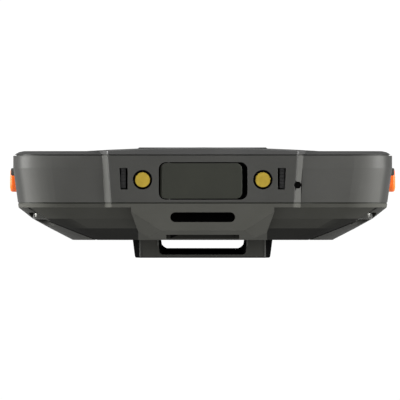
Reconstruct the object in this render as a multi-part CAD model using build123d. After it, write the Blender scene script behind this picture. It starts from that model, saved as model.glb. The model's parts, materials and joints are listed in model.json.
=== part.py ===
from build123d import *
import os

os.makedirs("parts", exist_ok=True)

# A rugged hand-held data terminal with a barcode imager in its upper end.
# X runs across it, +Y points to the imager, -Y to the charging end, +Z out of the screen.
# Heights below are measured up from the flat back of the casing. The finished pieces are lifted by
# the strap loop's drop, so that the origin lies under the middle, on the surface it rests on.

# ---- casing, millimetres ----
body_width = 78.0            # across the widest part, just under the bezel
body_length = 154.0          # between the two end walls, without the end bosses
end_boss_reach = 3.0         # each end boss stands this far out of its end wall
corner_radius = 8.0          # rounded corners seen from the front
back_side_inset = 12.2       # from the widest part in to the edge of the flat back
back_end_inset = 10.5
lower_crease_height = 2.4    # first crease of the sloped underside
lower_crease_side_inset = 7.6
lower_crease_end_inset = 5.2
upper_crease_height = 4.4    # second crease of the sloped underside
upper_crease_side_inset = 4.0
upper_crease_end_inset = 2.4
lip_height = 6.7             # where the slopes end and the side walls begin
lip_side_inset = 1.1
lip_end_inset = 0.6
parting_height = 7.5         # rear housing meets front housing
widest_height = 14.8         # the side walls lean out up to here
shoulder_height = 17.3       # the side walls turn in from here
bezel_seat_height = 17.6     # front housing meets bezel
bezel_top_height = 18.3      # flat rim around the glass
bezel_seat_inset = 0.3       # turn-in of the wall under the bezel
bezel_edge_height = 18.1     # the bezel's outer edge is rounded over these two steps
bezel_edge_inset = 1.2
bezel_top_inset = 2.2
reveal_height = 0.25         # shadow gap where two mouldings meet
reveal_depth = 0.35
side_wall = 2.0              # side and end walls of the front housing
cavity_draft = 0.8           # the cavity is straight, so its wall thins by this towards the parting
back_wall = 1.6              # flat back of the rear housing
slope_inset = 2.4            # the cavity's slopes lie this far inside the outer ones
overcut = 1.0                # how far a cut runs past the surface that it opens

# ---- end bosses ----
port_boss_half_width = 19.6  # face of the charging end boss, at the bezel
port_boss_foot_half_width = 18.8
boss_flare = 1.1             # each side of a boss leans out by this from its face to the end wall
boss_edge_radius = 0.5
nose_half_width = 24.0       # face of the imager end boss
nose_foot_height = 3.2       # the nose slopes in under the parting line down to here
nose_foot_half_width = 21.0
nose_foot_reach = 1.0        # still stands out of the slope by this at its foot
strap_boss_half_width = 14.7
strap_boss_top = 5.85
strap_boss_waist_half_width = 13.2
strap_boss_waist_height = 1.65
strap_boss_bottom_half_width = 10.6
strap_boss_bottom = 0.33
strap_boss_crease_half_width = 8.5
strap_boss_crease_height = 1.9
strap_boss_facet_depth = 3.4
strap_slot_width = 13.3
strap_slot_height = 2.0
strap_slot_centre_height = 4.7
strap_slot_depth = 9.0
strap_exit_length = 4.0
strap_notch_width = 15.0
strap_notch_height = 1.1
strap_wall = 1.6             # plastic left around the strap's tunnel

# ---- charging port and its rubber cover ----
port_centre_height = 12.15
port_recess_left = -9.05
port_recess_right = 9.2
port_recess_height = 7.7
port_recess_radius = 1.5
port_recess_depth = 3.6
finger_gap = 1.1             # left open at the free end of the cover
cover_clearance = 0.2
port_cover_thickness = 2.2
port_cover_lug = 1.0         # sealing block on the inside of the cover
port_cover_lug_width = 9.6
port_cover_lug_height = 3.8
port_pin_offset = 1.85       # from the cover's hinged end to its pin
port_cover_round = 0.9       # rounded front edge of the hinged end, so that it turns in the recess
port_pin_radius = 0.4
port_pin_hold = 0.8          # how far the pin runs into the housing at each end
running_clearance = 0.05
socket_width = 8.94          # reversible 24-pin socket
socket_height = 3.26
socket_length = 7.3
socket_radius = 1.5
socket_wall = 0.3
socket_clearance = 0.2
socket_set_back = 0.1        # behind the floor of the recess
tongue_width = 6.7
tongue_height = 0.7
tongue_length = 5.0
tongue_radius = 0.3

# ---- charging contacts, dock slots, microphone ----
contact_spacing = 24.7
contact_height = 12.4
contact_radius = 1.575
contact_set_back = 0.15
contact_length = 4.6
contact_tail_radius = 0.6
contact_foot_start = 0.3     # the tail's foot on the board, from the board's end
contact_foot_end = 1.5
seal_radius = 2.0
seal_set_back = 0.5
dock_slot_inner = 15.4
dock_slot_width = 1.7
dock_slot_height = 4.4
dock_slot_centre_height = 12.6
dock_slot_depth = 2.6
dock_slot_slant = 0.25
mic_x = 19.5
mic_height = 11.3
mic_hole_radius = 0.72
mic_size = 3.0
mic_thickness = 1.4

# ---- screen ----
glass_side_margin = 3.5      # from the casing's side to the glass
glass_end_margin = 3.5
glass_radius = 5.5
glass_bevel = 0.25
glass_thickness = 1.2
glass_gap = 0.25
glass_bed_height = 16.6      # the glass lies on the front housing here
display_side_margin = 1.8    # from the glass edge to the display
display_low_margin = 3.5
display_top_margin = 11.5
display_gap = 0.3
display_radius = 0.8
chin_crown_half_width = 24.0
chin_crown_rise = 0.75
brow_half_width = 13.8       # black bumper that stands over the earpiece end
brow_rise = 1.15
brow_length = 4.2
brow_seat_depth = 0.3
brow_radius = 0.6
crown_edge_radius = 0.4

# ---- chassis and board ----
frame_side_margin = 4.0      # from the casing's side to the chassis
frame_end_margin = 4.0
frame_thickness = 1.0
frame_radius = 5.0
ledge_height = 14.6          # underside of the ledge that carries the glass
cable_window_width = 22.0    # the display's cable passes through the chassis here
cable_window_length = 9.0
cable_window_y = -40.0
port_notch_gap = 0.6         # the chassis is cut away this far round the socket
board_bottom = 9.6
board_thickness = 1.0
board_side_margin = 8.8      # from the casing's side to the board
board_low_margin = 3.0       # from the end walls to the board's ends
board_high_margin = 15.0
board_radius = 1.5
standoff_radius = 2.0
standoff_side_inset = 4.2    # from the board's edges
standoff_low_inset = 14.0
standoff_high_inset = 6.0
standoff_bore_room = 0.4     # the bore runs this far into the chassis plate
board_screw_radius = 0.7
board_screw_head_radius = 1.3
board_screw_head_height = 0.45
shield_height = 2.2
processor_shield_size = 30.0
processor_shield_centre = (-9.0, 20.0)
radio_shield_width = 26.0
radio_shield_length = 22.0
radio_shield_centre = (9.0, -15.0)
shield_wall = 0.25
shield_radius = 0.8
motor_radius = 4.0
motor_height = 2.7
motor_side_inset = 12.2      # from the board's edge to the motor's middle
motor_end_inset = 26.0       # from the board's lower end

# ---- battery and its door ----
door_side_margin = 1.5       # from the battery's side to the door's
door_foot_margin = 6.5       # from the end of the flat back to the door
door_radius = 3.0
door_thickness = 1.6
door_gap = 0.25
toe_tab_width = 8.0
toe_tab_side_inset = 8.8     # from the door's side to the middle of a tab
toe_tab_reach = 2.0
toe_tab_root = 1.6           # from the door's edge to the far side of a tab's root
toe_tab_gap = 0.4            # from the door's edge to the near side of the root
toe_tab_thickness = 0.8
toe_tab_lift = 0.1
battery_width = 40.6
battery_foot_gap = 4.5       # from the door's hinged end to the battery
battery_head_gap = 4.9       # room for the contact block between the battery and the bay's end
battery_bottom = 2.1
battery_top = 8.0
battery_radius = 1.5
battery_edge_radius = 0.8
bay_gap = 0.3
bay_wall = 1.2
bay_ceiling_wall = 0.8
card_bay_length = 11.8       # shallow bay past the battery, with its wall
card_bay_overlap = 1.8       # how far it runs on under the back, past the door
card_bay_ceiling = 4.0
blade_width = 1.2
blade_pitch = 4.0
blade_count = 4
contact_block_width = 18.0
contact_block_bottom = 2.4
contact_block_top = 7.4
blade_thickness = 0.3
blade_inset = 0.8
latch_side_gap = 1.4         # from the bay's wall to the latch's plate
latch_end_gap = 1.6          # from the door's end to the latch
latch_radius = 0.7
latch_width = 9.0
latch_length = 4.0
latch_travel = 1.8
latch_tongue_reach = 1.2
latch_plate_margin = 1.2
latch_plate_thickness = 0.8
latch_recess = 0.3
latch_gap = 0.2
latch_plate_gap = 0.1
latch_ridge_pitch = 1.0
latch_ridge_width = 0.4
latch_ridge_height = 0.2
latch_ridge_margin = 1.0
card_socket_width = 14.0
card_socket_length = 7.0
card_socket_thickness = 1.3
antenna_width = 32.0
antenna_length = 40.0
antenna_thickness = 0.2
antenna_radius = 2.0
antenna_y = -25.0

# ---- side triggers and keys ----
trigger_length = 26.0
trigger_height = 4.8
trigger_centre_height = 12.35
trigger_end_distance = 57.0  # from the imager end to a trigger's middle
trigger_reach = 1.4          # out of the casing's side
trigger_travel = 0.6
key_corner_radius = 1.7
key_gap = 0.2
key_edge_radius = 0.5
key_flange_margin = 0.8
key_flange_thickness = 0.9
key_flange_gap = 0.1
key_root = 0.25              # how far a key cap runs into its flange
key_relief = 1.3             # the ledge is cut away this far inside the wall, over the keys
key_post_radius = 0.9
switch_gap = 0.1
switch_width = 3.0
switch_height = 2.3
switch_reach = 2.2
key_board_thickness = 0.6
key_board_low_margin = 1.0   # past the trigger
key_board_high_margin = 1.0  # past the rocker
power_key_length = 11.0
power_key_height = 3.6
upper_key_distance = 30.0    # from the imager end to the middle of the power key and the rocker
power_key_reach = 0.2
power_key_travel = 0.4
rocker_length = 20.0
rocker_height = 3.6
rocker_reach = 0.1
rocker_depth = 2.4           # from its face to its back
rocker_pin_depth = 1.7       # from its face to its pin
rocker_pin_radius = 0.45
rocker_pin_hold = 0.8        # how far the pin runs into the wall at each end
rocker_switch_offset = 6.0
rocker_post_reach = 1.1
rocker_travel = 0.3          # of the rocker's posts at full tilt

# ---- imager, cameras, sounders ----
window_width = 26.0
window_height = 5.8
window_centre_height = 11.2
window_thickness = 1.5
window_radius = 1.2
window_set_back = 0.5
window_border = 1.4
window_gap = 0.1
engine_width = 21.0
engine_length = 11.0
engine_bottom = 7.6
engine_lens_radius = 2.2
engine_lens_reach = 0.6
engine_gap = 0.2
earpiece_width = 12.0
earpiece_length = 6.0
earpiece_glass_margin = 5.1  # from the glass end to the middle of the earpiece slot
earpiece_gap = 0.1
earpiece_slot_width = 11.0
earpiece_slot_height = 1.2
front_camera_size = 6.0
front_camera_x = 20.0
front_camera_lens_radius = 1.4
front_camera_lens_height = 0.3
front_camera_radius = 0.6
pocket_gap = 0.2
pocket_radius = 1.0
status_lens_width = 4.0
status_lens_length = 1.0
status_lens_x = -20.0
status_lens_depth = 0.6      # below the front housing's rim
camera_x = -11.0
camera_end_distance = 23.0   # from the imager end to the camera and the speaker
camera_window_width = 20.0
camera_window_length = 11.0
camera_window_radius = 5.0
camera_window_thickness = 0.8
camera_window_set_back = 0.1
camera_offset = -4.5
camera_size = 8.0
camera_thickness = 4.8
camera_lens_radius = 3.0
camera_radius = 0.8
flash_offset = 5.5
flash_size = 3.0
flash_thickness = 1.2
speaker_x = 11.5
speaker_width = 18.0
speaker_length = 13.0
speaker_thickness = 4.0
speaker_radius = 1.5
speaker_slot_count = 6
speaker_slot_pitch = 2.6
speaker_slot_width = 1.1
speaker_slot_length = 9.0
mesh_thickness = 0.2
mesh_margin = 0.5            # between the speaker's edge and its mesh
mesh_set_back = 0.3          # of the earpiece's mesh, from the face of the glass

# ---- strap loop on the back ----
loop_drop = 4.0              # how far it stands out of the back
loop_near_half_width = 13.4  # the edge that faces the charging end
loop_far_half_width = 14.8
loop_far_foot_half_width = 14.3
loop_length = 10.0
loop_camera_distance = 9.0   # from the loop to the middle of the camera
loop_door_distance = 5.0     # from the loop to the door
loop_edge_radius = 0.4
loop_hole_taper = 0.3
loop_hole_near_half_width = 9.4
loop_hole_near_drop = 3.3
loop_hole_far_half_width = 8.85
loop_hole_far_drop = 2.0
loop_hole_radius = 0.8
loop_screw_x = 11.6
loop_screw_radius = 0.8
loop_screw_head_radius = 1.4
loop_screw_head_height = 1.0
loop_head_recess = 0.2
loop_screw_end = 5.0
loop_socket_radius = 0.8
loop_boss_radius = 2.2
loop_boss_top = 7.2

# ---- casing screws, seal and grips ----
casing_screw_side_inset = 5.9
casing_screw_end_inset = 6.5
casing_screw_middle_y = -18.0
casing_screw_radius = 1.0
casing_socket_radius = 0.95
screw_socket_depth = 0.7
screw_point_room = 0.3       # left in front of a screw's point
casing_head_radius = 1.8
casing_head_height = 1.2
casing_head_seat = 5.5
casing_boss_radius = 2.6
casing_boss_top = 13.2
casing_web_thickness = 1.6
casing_screw_end = 12.2
thread_clearance = 0.03
seal_inset = 0.6
seal_width = 0.7
seal_depth = 0.7
grip_door_gap = 0.3          # between the door and the grips
grip_step_height = 3.7
grip_top_inset = 1.9         # from the lip in to the grip's upper edge
grip_groove_width = 0.35
grip_groove_depth = 0.7

# ---- places worked out from the sizes above ----
half_width = body_width / 2
half_length = body_length / 2
boss_face = half_length + end_boss_reach
back_half_width = half_width - back_side_inset
back_half_length = half_length - back_end_inset
lower_crease_half_width = half_width - lower_crease_side_inset
lower_crease_half_length = half_length - lower_crease_end_inset
upper_crease_half_width = half_width - upper_crease_side_inset
upper_crease_half_length = half_length - upper_crease_end_inset
lip_half_width = half_width - lip_side_inset
lip_half_length = half_length - lip_end_inset
cavity_half_width = half_width - side_wall - cavity_draft
cavity_half_length = lip_half_length - side_wall

glass_width = body_width - 2 * glass_side_margin
glass_length = body_length - 2 * glass_end_margin
glass_top = glass_bed_height + glass_thickness
display_width = glass_width - 2 * display_side_margin
display_length = glass_length - display_low_margin - display_top_margin
display_y = (display_low_margin - display_top_margin) / 2
earpiece_y = glass_length / 2 - earpiece_glass_margin

frame_width = body_width - 2 * frame_side_margin
frame_length = body_length - 2 * frame_end_margin
frame_bottom = ledge_height - frame_thickness
board_top = board_bottom + board_thickness
board_width = body_width - 2 * board_side_margin
board_low_y = -half_length + board_low_margin
board_high_y = half_length - board_high_margin
motor_centre = (board_width / 2 - motor_side_inset, board_low_y + motor_end_inset)
standoff_x = board_width / 2 - standoff_side_inset
standoff_low_y = board_low_y + standoff_low_inset
standoff_high_y = board_high_y - standoff_high_inset
standoff_rows = (standoff_low_y, (standoff_low_y + standoff_high_y) / 2, standoff_high_y)

camera_y = half_length - camera_end_distance
loop_high_y = camera_y - loop_camera_distance
loop_low_y = loop_high_y - loop_length
door_high_y = loop_low_y - loop_door_distance
door_low_y = -back_half_length + door_foot_margin
door_mid_y = (door_low_y + door_high_y) / 2
door_length = door_high_y - door_low_y
door_half_width = battery_width / 2 + door_side_margin
toe_tab_x = door_half_width - toe_tab_side_inset
card_bay_end_y = door_high_y + card_bay_overlap
bay_end_y = card_bay_end_y - card_bay_length
battery_low_y = door_low_y + battery_foot_gap
battery_high_y = bay_end_y - battery_head_gap
battery_mid_y = (battery_low_y + battery_high_y) / 2
battery_length = battery_high_y - battery_low_y
bay_half_width = battery_width / 2 + bay_gap
bay_low_y = battery_low_y - bay_gap
bay_ceiling = battery_top + bay_gap
latch_x = bay_half_width - latch_side_gap - latch_plate_margin - latch_width / 2
latch_y = door_high_y - latch_length / 2 - latch_end_gap

port_cover_left = port_recess_left + cover_clearance
port_cover_right = port_recess_right - finger_gap
port_cover_height = port_recess_height - 2 * cover_clearance
port_pin_x = port_cover_left + port_pin_offset
port_pin_y = -boss_face + port_cover_thickness / 2

trigger_y = half_length - trigger_end_distance
trigger_face = half_width + trigger_reach
power_key_y = half_length - upper_key_distance
power_key_face = half_width + power_key_reach
rocker_y = half_length - upper_key_distance
rocker_face = half_width + rocker_reach
rocker_back = rocker_face - rocker_depth
rocker_pin_x = rocker_face - rocker_pin_depth
key_flange_outer = cavity_half_width - key_flange_gap
key_flange_inner = key_flange_outer - key_flange_thickness
key_board_inner = board_width / 2
key_board_outer = key_board_inner + key_board_thickness
key_board_low_y = trigger_y - trigger_length / 2 - key_board_low_margin
key_board_high_y = rocker_y + rocker_length / 2 + key_board_high_margin
switch_top = key_board_outer + switch_reach

casing_screw_x = half_width - casing_screw_side_inset
casing_screw_far_y = half_length - casing_screw_end_inset
casing_screw_rows = (-casing_screw_far_y, casing_screw_middle_y, casing_screw_far_y)
grip_inner_half_width = door_half_width + grip_door_gap
grip_top_half_width = lip_half_width - grip_top_inset


# ---- helpers ----
def block(x_low, x_high, y_low, y_high, z_low, z_high):
    corner = (Align.MIN, Align.MIN, Align.MIN)
    return Pos(x_low, y_low, z_low) * Box(x_high - x_low, y_high - y_low, z_high - z_low, align=corner)


def plate(width, length, radius, z_low, z_high, x=0.0, y=0.0):
    outline = Pos(x, y, z_low) * RectangleRounded(width, length, radius)
    return extrude(outline, amount=z_high - z_low)


def post(x, y, radius, z_low, z_high):
    return Pos(x, y, z_low) * Cylinder(radius, z_high - z_low, align=(Align.CENTER, Align.CENTER, Align.MIN))


def along_y(outline, y_low, y_high):
    """An outline drawn in X and Z, carried from y_low to y_high."""
    face = Plane((0, y_high, 0), x_dir=(1, 0, 0), z_dir=(0, -1, 0)) * outline
    return extrude(face, amount=y_high - y_low)


def along_x(outline, x_low, x_high):
    """An outline drawn in Y and Z, carried from x_low to x_high."""
    face = Plane((x_low, 0, 0), x_dir=(0, 1, 0), z_dir=(1, 0, 0)) * outline
    return extrude(face, amount=x_high - x_low)


def mirrored_polygon(points):
    """A closed outline from its right-hand points, listed upwards."""
    left = [(-x, z) for x, z in reversed(points)]
    return make_face(Polyline(*points, *left, close=True))


def stack(levels):
    """A body of rounded rectangles, one for each height, with straight faces between them."""
    sections = []
    for height, half_width, half_len, radius in levels:
        sections.append(Pos(0, 0, height) * RectangleRounded(2 * half_width, 2 * half_len, radius))
    return loft(sections, ruled=True)


def wall_half_width(height):
    """Half width of the leaning side wall at a height."""
    share = (height - lip_height) / (widest_height - lip_height)
    return lip_half_width + share * (half_width - lip_half_width)


def wall_half_length(height):
    share = (height - lip_height) / (widest_height - lip_height)
    return lip_half_length + share * (half_length - lip_half_length)


def boss_half_width(height):
    """Half width of the charging end boss at a height."""
    share = (height - lip_height) / (bezel_seat_height - lip_height)
    return port_boss_foot_half_width + share * (port_boss_half_width - port_boss_foot_half_width)


def boss_section(half_low, half_high, z_low, z_high, y):
    """A four-sided section in X and Z at one place along the terminal."""
    outline = mirrored_polygon([(half_low, z_low), (half_high, z_high)])
    return Plane((0, y, 0), x_dir=(1, 0, 0), z_dir=(0, -1, 0)) * outline


def flared_boss(half_low, half_high, z_low, z_high, side):
    """A boss on an end wall, from inside the wall to its face, its sides leaning in to the face."""
    inner = half_length - side_wall
    spread = boss_flare * (boss_face - inner) / end_boss_reach
    boss = loft([
        boss_section(half_low + spread, half_high + spread, z_low, z_high, side * inner),
        boss_section(half_low, half_high, z_low, z_high, side * boss_face),
    ], ruled=True)
    return fillet(upright_edges(boss, side * boss_face), boss_edge_radius)


def end_boss(z_low, z_high):
    """The boss that carries the port."""
    return flared_boss(boss_half_width(z_low), boss_half_width(z_high), z_low, z_high, -1)


def nose(z_low, z_high):
    """The boss around the imager's window."""
    return flared_boss(nose_half_width, nose_half_width, z_low, z_high, 1)


def nose_foot():
    """The nose's underside, sloping in below the parting line."""
    inner = half_length - side_wall
    foot_reach = lower_crease_half_length + nose_foot_reach
    sections = []
    for height, half, reach in ((nose_foot_height, nose_foot_half_width, foot_reach),
                                (lip_height, nose_half_width + boss_flare / 2, boss_face)):
        outline = Pos(0, (inner - corner_radius + reach) / 2, height) * Rectangle(
            2 * half, reach - inner + corner_radius)
        sections.append(outline)
    return loft(sections, ruled=True)


def upright_edges(boss, face_y):
    """The edges of a boss that stand up in its end face."""
    return [edge for edge in boss.edges()
            if abs(edge.center().Y - face_y) < 0.01 and abs(edge.tangent_at(0.5).Z) > 0.5]


def top_edges(boss, face_y):
    """The edges round the top of a boss, from one rounded upright to the other."""
    return [edge for edge in boss.edges()
            if abs(edge.center().Y - face_y) < boss_edge_radius
            and min(corner.Z for corner in edge.vertices()) > bezel_top_height - 0.01]


def strap_boss():
    """The wedge under the lip that holds the strap's lower end, with its lower corners cut away."""
    points = [
        (strap_boss_bottom_half_width, strap_boss_bottom),
        (strap_boss_waist_half_width, strap_boss_waist_height),
        (strap_boss_half_width, strap_boss_top),
        (strap_boss_half_width, lip_height),
    ]
    boss = along_y(mirrored_polygon(points), -boss_face, -back_half_length + overcut)
    facet_y = -boss_face + strap_boss_facet_depth
    top_corner = Vector(strap_boss_half_width, -boss_face, strap_boss_top)
    crease_corner = Vector(strap_boss_crease_half_width, -boss_face, strap_boss_crease_height)
    waist_corner = Vector(strap_boss_waist_half_width, facet_y, strap_boss_waist_height)
    under_corner = Vector(strap_boss_crease_half_width, facet_y, strap_boss_bottom)
    side_facet = (crease_corner - top_corner).cross(waist_corner - top_corner).normalized()
    boss = keep_inside(boss, Plane(top_corner, z_dir=side_facet))
    left_top = Vector(-strap_boss_half_width, -boss_face, strap_boss_top)
    boss = keep_inside(boss, Plane(left_top, z_dir=(-side_facet.X, side_facet.Y, side_facet.Z)))
    under_facet = Vector(1, 0, 0).cross(under_corner - crease_corner).normalized()
    return keep_inside(boss, Plane(crease_corner, z_dir=under_facet))


def keep_inside(solid, plane):
    """Cuts a solid by a plane and keeps the larger part."""
    halves = [split(solid, bisect_by=plane, keep=side) for side in (Keep.TOP, Keep.BOTTOM)]
    return max(halves, key=lambda half: half.volume)


def slope_levels():
    return [
        (0.0, back_half_width, back_half_length, corner_radius),
        (lower_crease_height, lower_crease_half_width, lower_crease_half_length, corner_radius),
        (upper_crease_height, upper_crease_half_width, upper_crease_half_length, corner_radius),
        (lip_height, lip_half_width, lip_half_length, corner_radius),
    ]


def rear_hull():
    levels = slope_levels()
    levels.append((parting_height, wall_half_width(parting_height),
                   wall_half_length(parting_height), corner_radius))
    return stack(levels)


def rear_cavity():
    levels = []
    for height, half_width, half_len, radius in slope_levels()[:3]:
        levels.append((height + back_wall, half_width - slope_inset, half_len - slope_inset,
                       radius - slope_inset))
    levels.append((parting_height, cavity_half_width, cavity_half_length, corner_radius - side_wall))
    return stack(levels)


def strap_tunnel():
    """The strap goes in at the end face and comes out through the back, round the bar between."""
    inner_y = -boss_face + strap_slot_depth
    slot = Pos(0, strap_slot_centre_height) * SlotOverall(strap_slot_width, strap_slot_height)
    tunnel = along_y(slot, -boss_face - overcut, inner_y)
    half = strap_slot_width / 2
    chute = block(-half, half, inner_y - strap_exit_length, inner_y, -overcut, strap_slot_centre_height)
    notch_half = strap_notch_width / 2
    notch = block(-notch_half, notch_half, -boss_face - overcut, inner_y - strap_exit_length / 2, -overcut,
                  strap_notch_height)
    return tunnel + chute + notch


def strap_anchor():
    """Solid plastic around the tunnel, inside the casing."""
    half = strap_slot_width / 2 + strap_wall
    inner_y = -boss_face + strap_slot_depth + strap_wall
    return block(-half, half, -half_length + side_wall, inner_y, strap_notch_height, parting_height)


def grip_profile(inner_shift):
    """Cross-section of one grip strip, wider than the casing so that the casing's skin trims it."""
    points = [
        (grip_inner_half_width - inner_shift, -overcut),
        (grip_inner_half_width - inner_shift, 0.0),
        (lower_crease_half_width - inner_shift, grip_step_height),
        (grip_top_half_width - inner_shift, lip_height),
        (half_width + overcut, lip_height),
        (half_width + overcut, -overcut),
    ]
    return make_face(Polyline(*points, close=True))


def grip_space(side, inner_shift=0.0, grow=0.0):
    profile = grip_profile(inner_shift)
    strip = along_y(profile, -half_length - grow, half_length + grow)
    return strip if side > 0 else mirror(strip, about=Plane.YZ)


def casing_points():
    return [(side * casing_screw_x, y) for side in (-1, 1) for y in casing_screw_rows]


def loop_points():
    mid_y = (loop_low_y + loop_high_y) / 2
    return [(side * loop_screw_x, mid_y) for side in (-1, 1)]


# ---- casing ----
def bay_tub():
    """Walls and ceiling of the battery bay, and the shallow card bay beside it."""
    half = bay_half_width + bay_wall
    low = bay_low_y - bay_wall
    deep = block(-half, half, low, bay_end_y + bay_wall, back_wall / 2, bay_ceiling + bay_ceiling_wall)
    shallow = block(-half, half, bay_end_y, card_bay_end_y + bay_wall, back_wall / 2,
                    card_bay_ceiling + bay_wall)
    return deep + shallow


def bay_space():
    half = bay_half_width
    deep = block(-half, half, bay_low_y, bay_end_y, -overcut, bay_ceiling)
    shallow = block(-half, half, bay_end_y + bay_wall, card_bay_end_y, back_wall, card_bay_ceiling)
    toe = block(-half, half, door_low_y, bay_low_y - bay_wall, -overcut, back_wall)
    return deep + shallow + toe


def rear_housing():
    hull = rear_hull()
    lip_boss = end_boss(lip_height, parting_height)
    lip_nose = nose(lip_height, parting_height)
    shell = hull + lip_boss + lip_nose + nose_foot() + strap_boss() - rear_cavity()
    shell += (strap_anchor() & hull) + bay_tub()
    for x, y in casing_points():
        shell += post(x, y, casing_boss_radius, 0, parting_height) & hull
    for x, y in loop_points():
        shell += post(x, y, loop_boss_radius, back_wall / 2, loop_boss_top)
    shell -= strap_tunnel()
    door = 2 * (door_half_width + door_gap)
    shell -= plate(door, door_length + 2 * door_gap, door_radius, -overcut, back_wall, y=door_mid_y)
    shell -= bay_space()
    for x, y in casing_points():
        shell -= post(x, y, casing_screw_radius + key_gap, 0, parting_height + overcut)
        shell -= post(x, y, casing_head_radius + key_gap, -overcut, casing_head_seat)
    for x, y in loop_points():
        shell -= post(x, y, loop_screw_radius + thread_clearance, -overcut, loop_screw_end + screw_point_room)
    shell -= seal_ring()
    for side in (-1, 1):
        shell -= grip_space(side, grow=overcut)
        shell -= grip_space(side, grip_groove_width, overcut) & (hull - rear_groove_core())
    shell -= camera_cutouts()
    shell -= speaker_slots()
    return shell


def rear_groove_core():
    """Everything deeper than the groove beside each grip."""
    levels = []
    for height, half_width, half_len, radius in slope_levels():
        levels.append((height + grip_groove_depth, half_width, half_len, radius))
    return stack(levels)


def side_grip(side):
    strip = grip_space(side) & rear_hull()
    strip -= rear_cavity()
    for x, y in casing_points():
        strip -= post(x, y, casing_boss_radius, -overcut, parting_height)
    return strip


def seal_ring():
    z_low = parting_height - seal_depth
    outer_half = wall_half_width(parting_height) - seal_inset
    outer_len = wall_half_length(parting_height) - seal_inset
    radius = corner_radius - seal_inset
    outer = plate(2 * outer_half, 2 * outer_len, radius, z_low, parting_height)
    inner = plate(2 * (outer_half - seal_width), 2 * (outer_len - seal_width), radius - seal_width,
                  z_low, parting_height)
    return outer - inner


def camera_cutouts():
    recess = plate(camera_window_width, camera_window_length, camera_window_radius,
                   -overcut, camera_window_thickness, camera_x, camera_y)
    eye = post(camera_x + camera_offset, camera_y, camera_lens_radius + key_gap, -overcut, back_wall)
    half = flash_size / 2 + key_gap
    flash = block(camera_x + flash_offset - half, camera_x + flash_offset + half,
                  camera_y - half, camera_y + half, -overcut, back_wall)
    return recess + eye + flash


def speaker_slots():
    slots = []
    first = speaker_x - (speaker_slot_count - 1) * speaker_slot_pitch / 2
    for index in range(speaker_slot_count):
        x = first + index * speaker_slot_pitch
        slot = SlotOverall(speaker_slot_length, speaker_slot_width, rotation=90)
        outline = Pos(x, camera_y, -overcut) * slot
        slots.append(extrude(outline, amount=back_wall + overcut))
    return slots


def front_shell():
    levels = [
        (parting_height, wall_half_width(parting_height), wall_half_length(parting_height), corner_radius),
        (widest_height, half_width, half_length, corner_radius),
        (shoulder_height, half_width, half_length, corner_radius),
        (bezel_seat_height, half_width - bezel_seat_inset, half_length - bezel_seat_inset,
         corner_radius - bezel_seat_inset),
    ]
    return stack(levels)


def boss_footprint(face_half_width, side):
    """The ground plan of an end boss, drawn from well inside the end wall to its face."""
    inner = half_length - 2 * side_wall
    spread = boss_flare * (boss_face - inner) / end_boss_reach
    points = [
        (face_half_width + spread, side * inner),
        (face_half_width, side * boss_face),
        (-face_half_width, side * boss_face),
        (-face_half_width - spread, side * inner),
    ]
    return make_face(Polyline(*points, close=True))


def reveal(z_low, casing_outline, port_half):
    """The shadow gap round the casing where two mouldings meet."""
    outline = casing_outline + boss_footprint(port_half, -1) + boss_footprint(nose_half_width, 1)
    core = offset(outline, amount=-reveal_depth, kind=Kind.INTERSECTION)
    ring = Rectangle(2 * body_width, 2 * body_length) - core
    return extrude(Pos(0, 0, z_low) * ring, amount=reveal_height)


def foot_reveal():
    casing_outline = RectangleRounded(
        2 * wall_half_width(parting_height), 2 * wall_half_length(parting_height), corner_radius)
    return reveal(parting_height, casing_outline, boss_half_width(parting_height))


def rim_reveal():
    casing_outline = RectangleRounded(
        body_width - 2 * bezel_seat_inset, body_length - 2 * bezel_seat_inset,
        corner_radius - bezel_seat_inset)
    z_low = bezel_seat_height - reveal_height
    return reveal(z_low, casing_outline, boss_half_width(bezel_seat_height))


def port_recess():
    width = port_recess_right - port_recess_left
    middle = (port_recess_left + port_recess_right) / 2
    outline = RectangleRounded(width, port_recess_height, port_recess_radius)
    outline = Pos(middle, port_centre_height) * outline
    recess = along_y(outline, -boss_face - overcut, -boss_face + port_recess_depth)
    mouth = Pos(0, socket_centre()) * RectangleRounded(
        socket_width + 2 * socket_clearance, socket_height + 2 * socket_clearance,
        socket_radius + socket_clearance)
    return recess + along_y(mouth, -boss_face, -cavity_half_length + overcut)


def socket_centre():
    return board_top + socket_height / 2


def contact_bores():
    bores = []
    for side in (-1, 1):
        circle = Pos(side * contact_spacing / 2, contact_height) * Circle(seal_radius)
        bores.append(along_y(circle, -boss_face - overcut, -cavity_half_length + overcut))
    return bores


def dock_slots():
    """Guide slots for a charging cradle, their outer sides leaning in towards the bottom."""
    low = dock_slot_centre_height - dock_slot_height / 2
    high = dock_slot_centre_height + dock_slot_height / 2
    outer = dock_slot_inner + dock_slot_width
    points = [(dock_slot_inner, low), (outer - dock_slot_slant, low), (outer, high), (dock_slot_inner, high)]
    outline = make_face(Polyline(*points, close=True))
    right = along_y(outline, -boss_face - overcut, -boss_face + dock_slot_depth)
    return [right, mirror(right, about=Plane.YZ)]


def mic_hole():
    circle = Pos(mic_x, mic_height) * Circle(mic_hole_radius)
    return along_y(circle, -boss_face - overcut, -cavity_half_length + overcut)


def key_outline(y, length, height, grow=0.0):
    radius = min(key_corner_radius, height / 2 - running_clearance) + grow
    return Pos(y, trigger_centre_height) * RectangleRounded(length + 2 * grow, height + 2 * grow, radius)


def key_openings():
    low = cavity_half_width - key_relief
    high = half_width + overcut
    trigger = along_x(key_outline(trigger_y, trigger_length, trigger_height, key_gap), low, high)
    power = along_x(key_outline(power_key_y, power_key_length, power_key_height, key_gap), low, high)
    rocker = along_x(key_outline(rocker_y, rocker_length, rocker_height, key_gap), low, high)
    rocker = mirror(rocker, about=Plane.YZ)
    return [trigger, mirror(trigger, about=Plane.YZ), power, rocker, rocker_pin_bore()]


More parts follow.
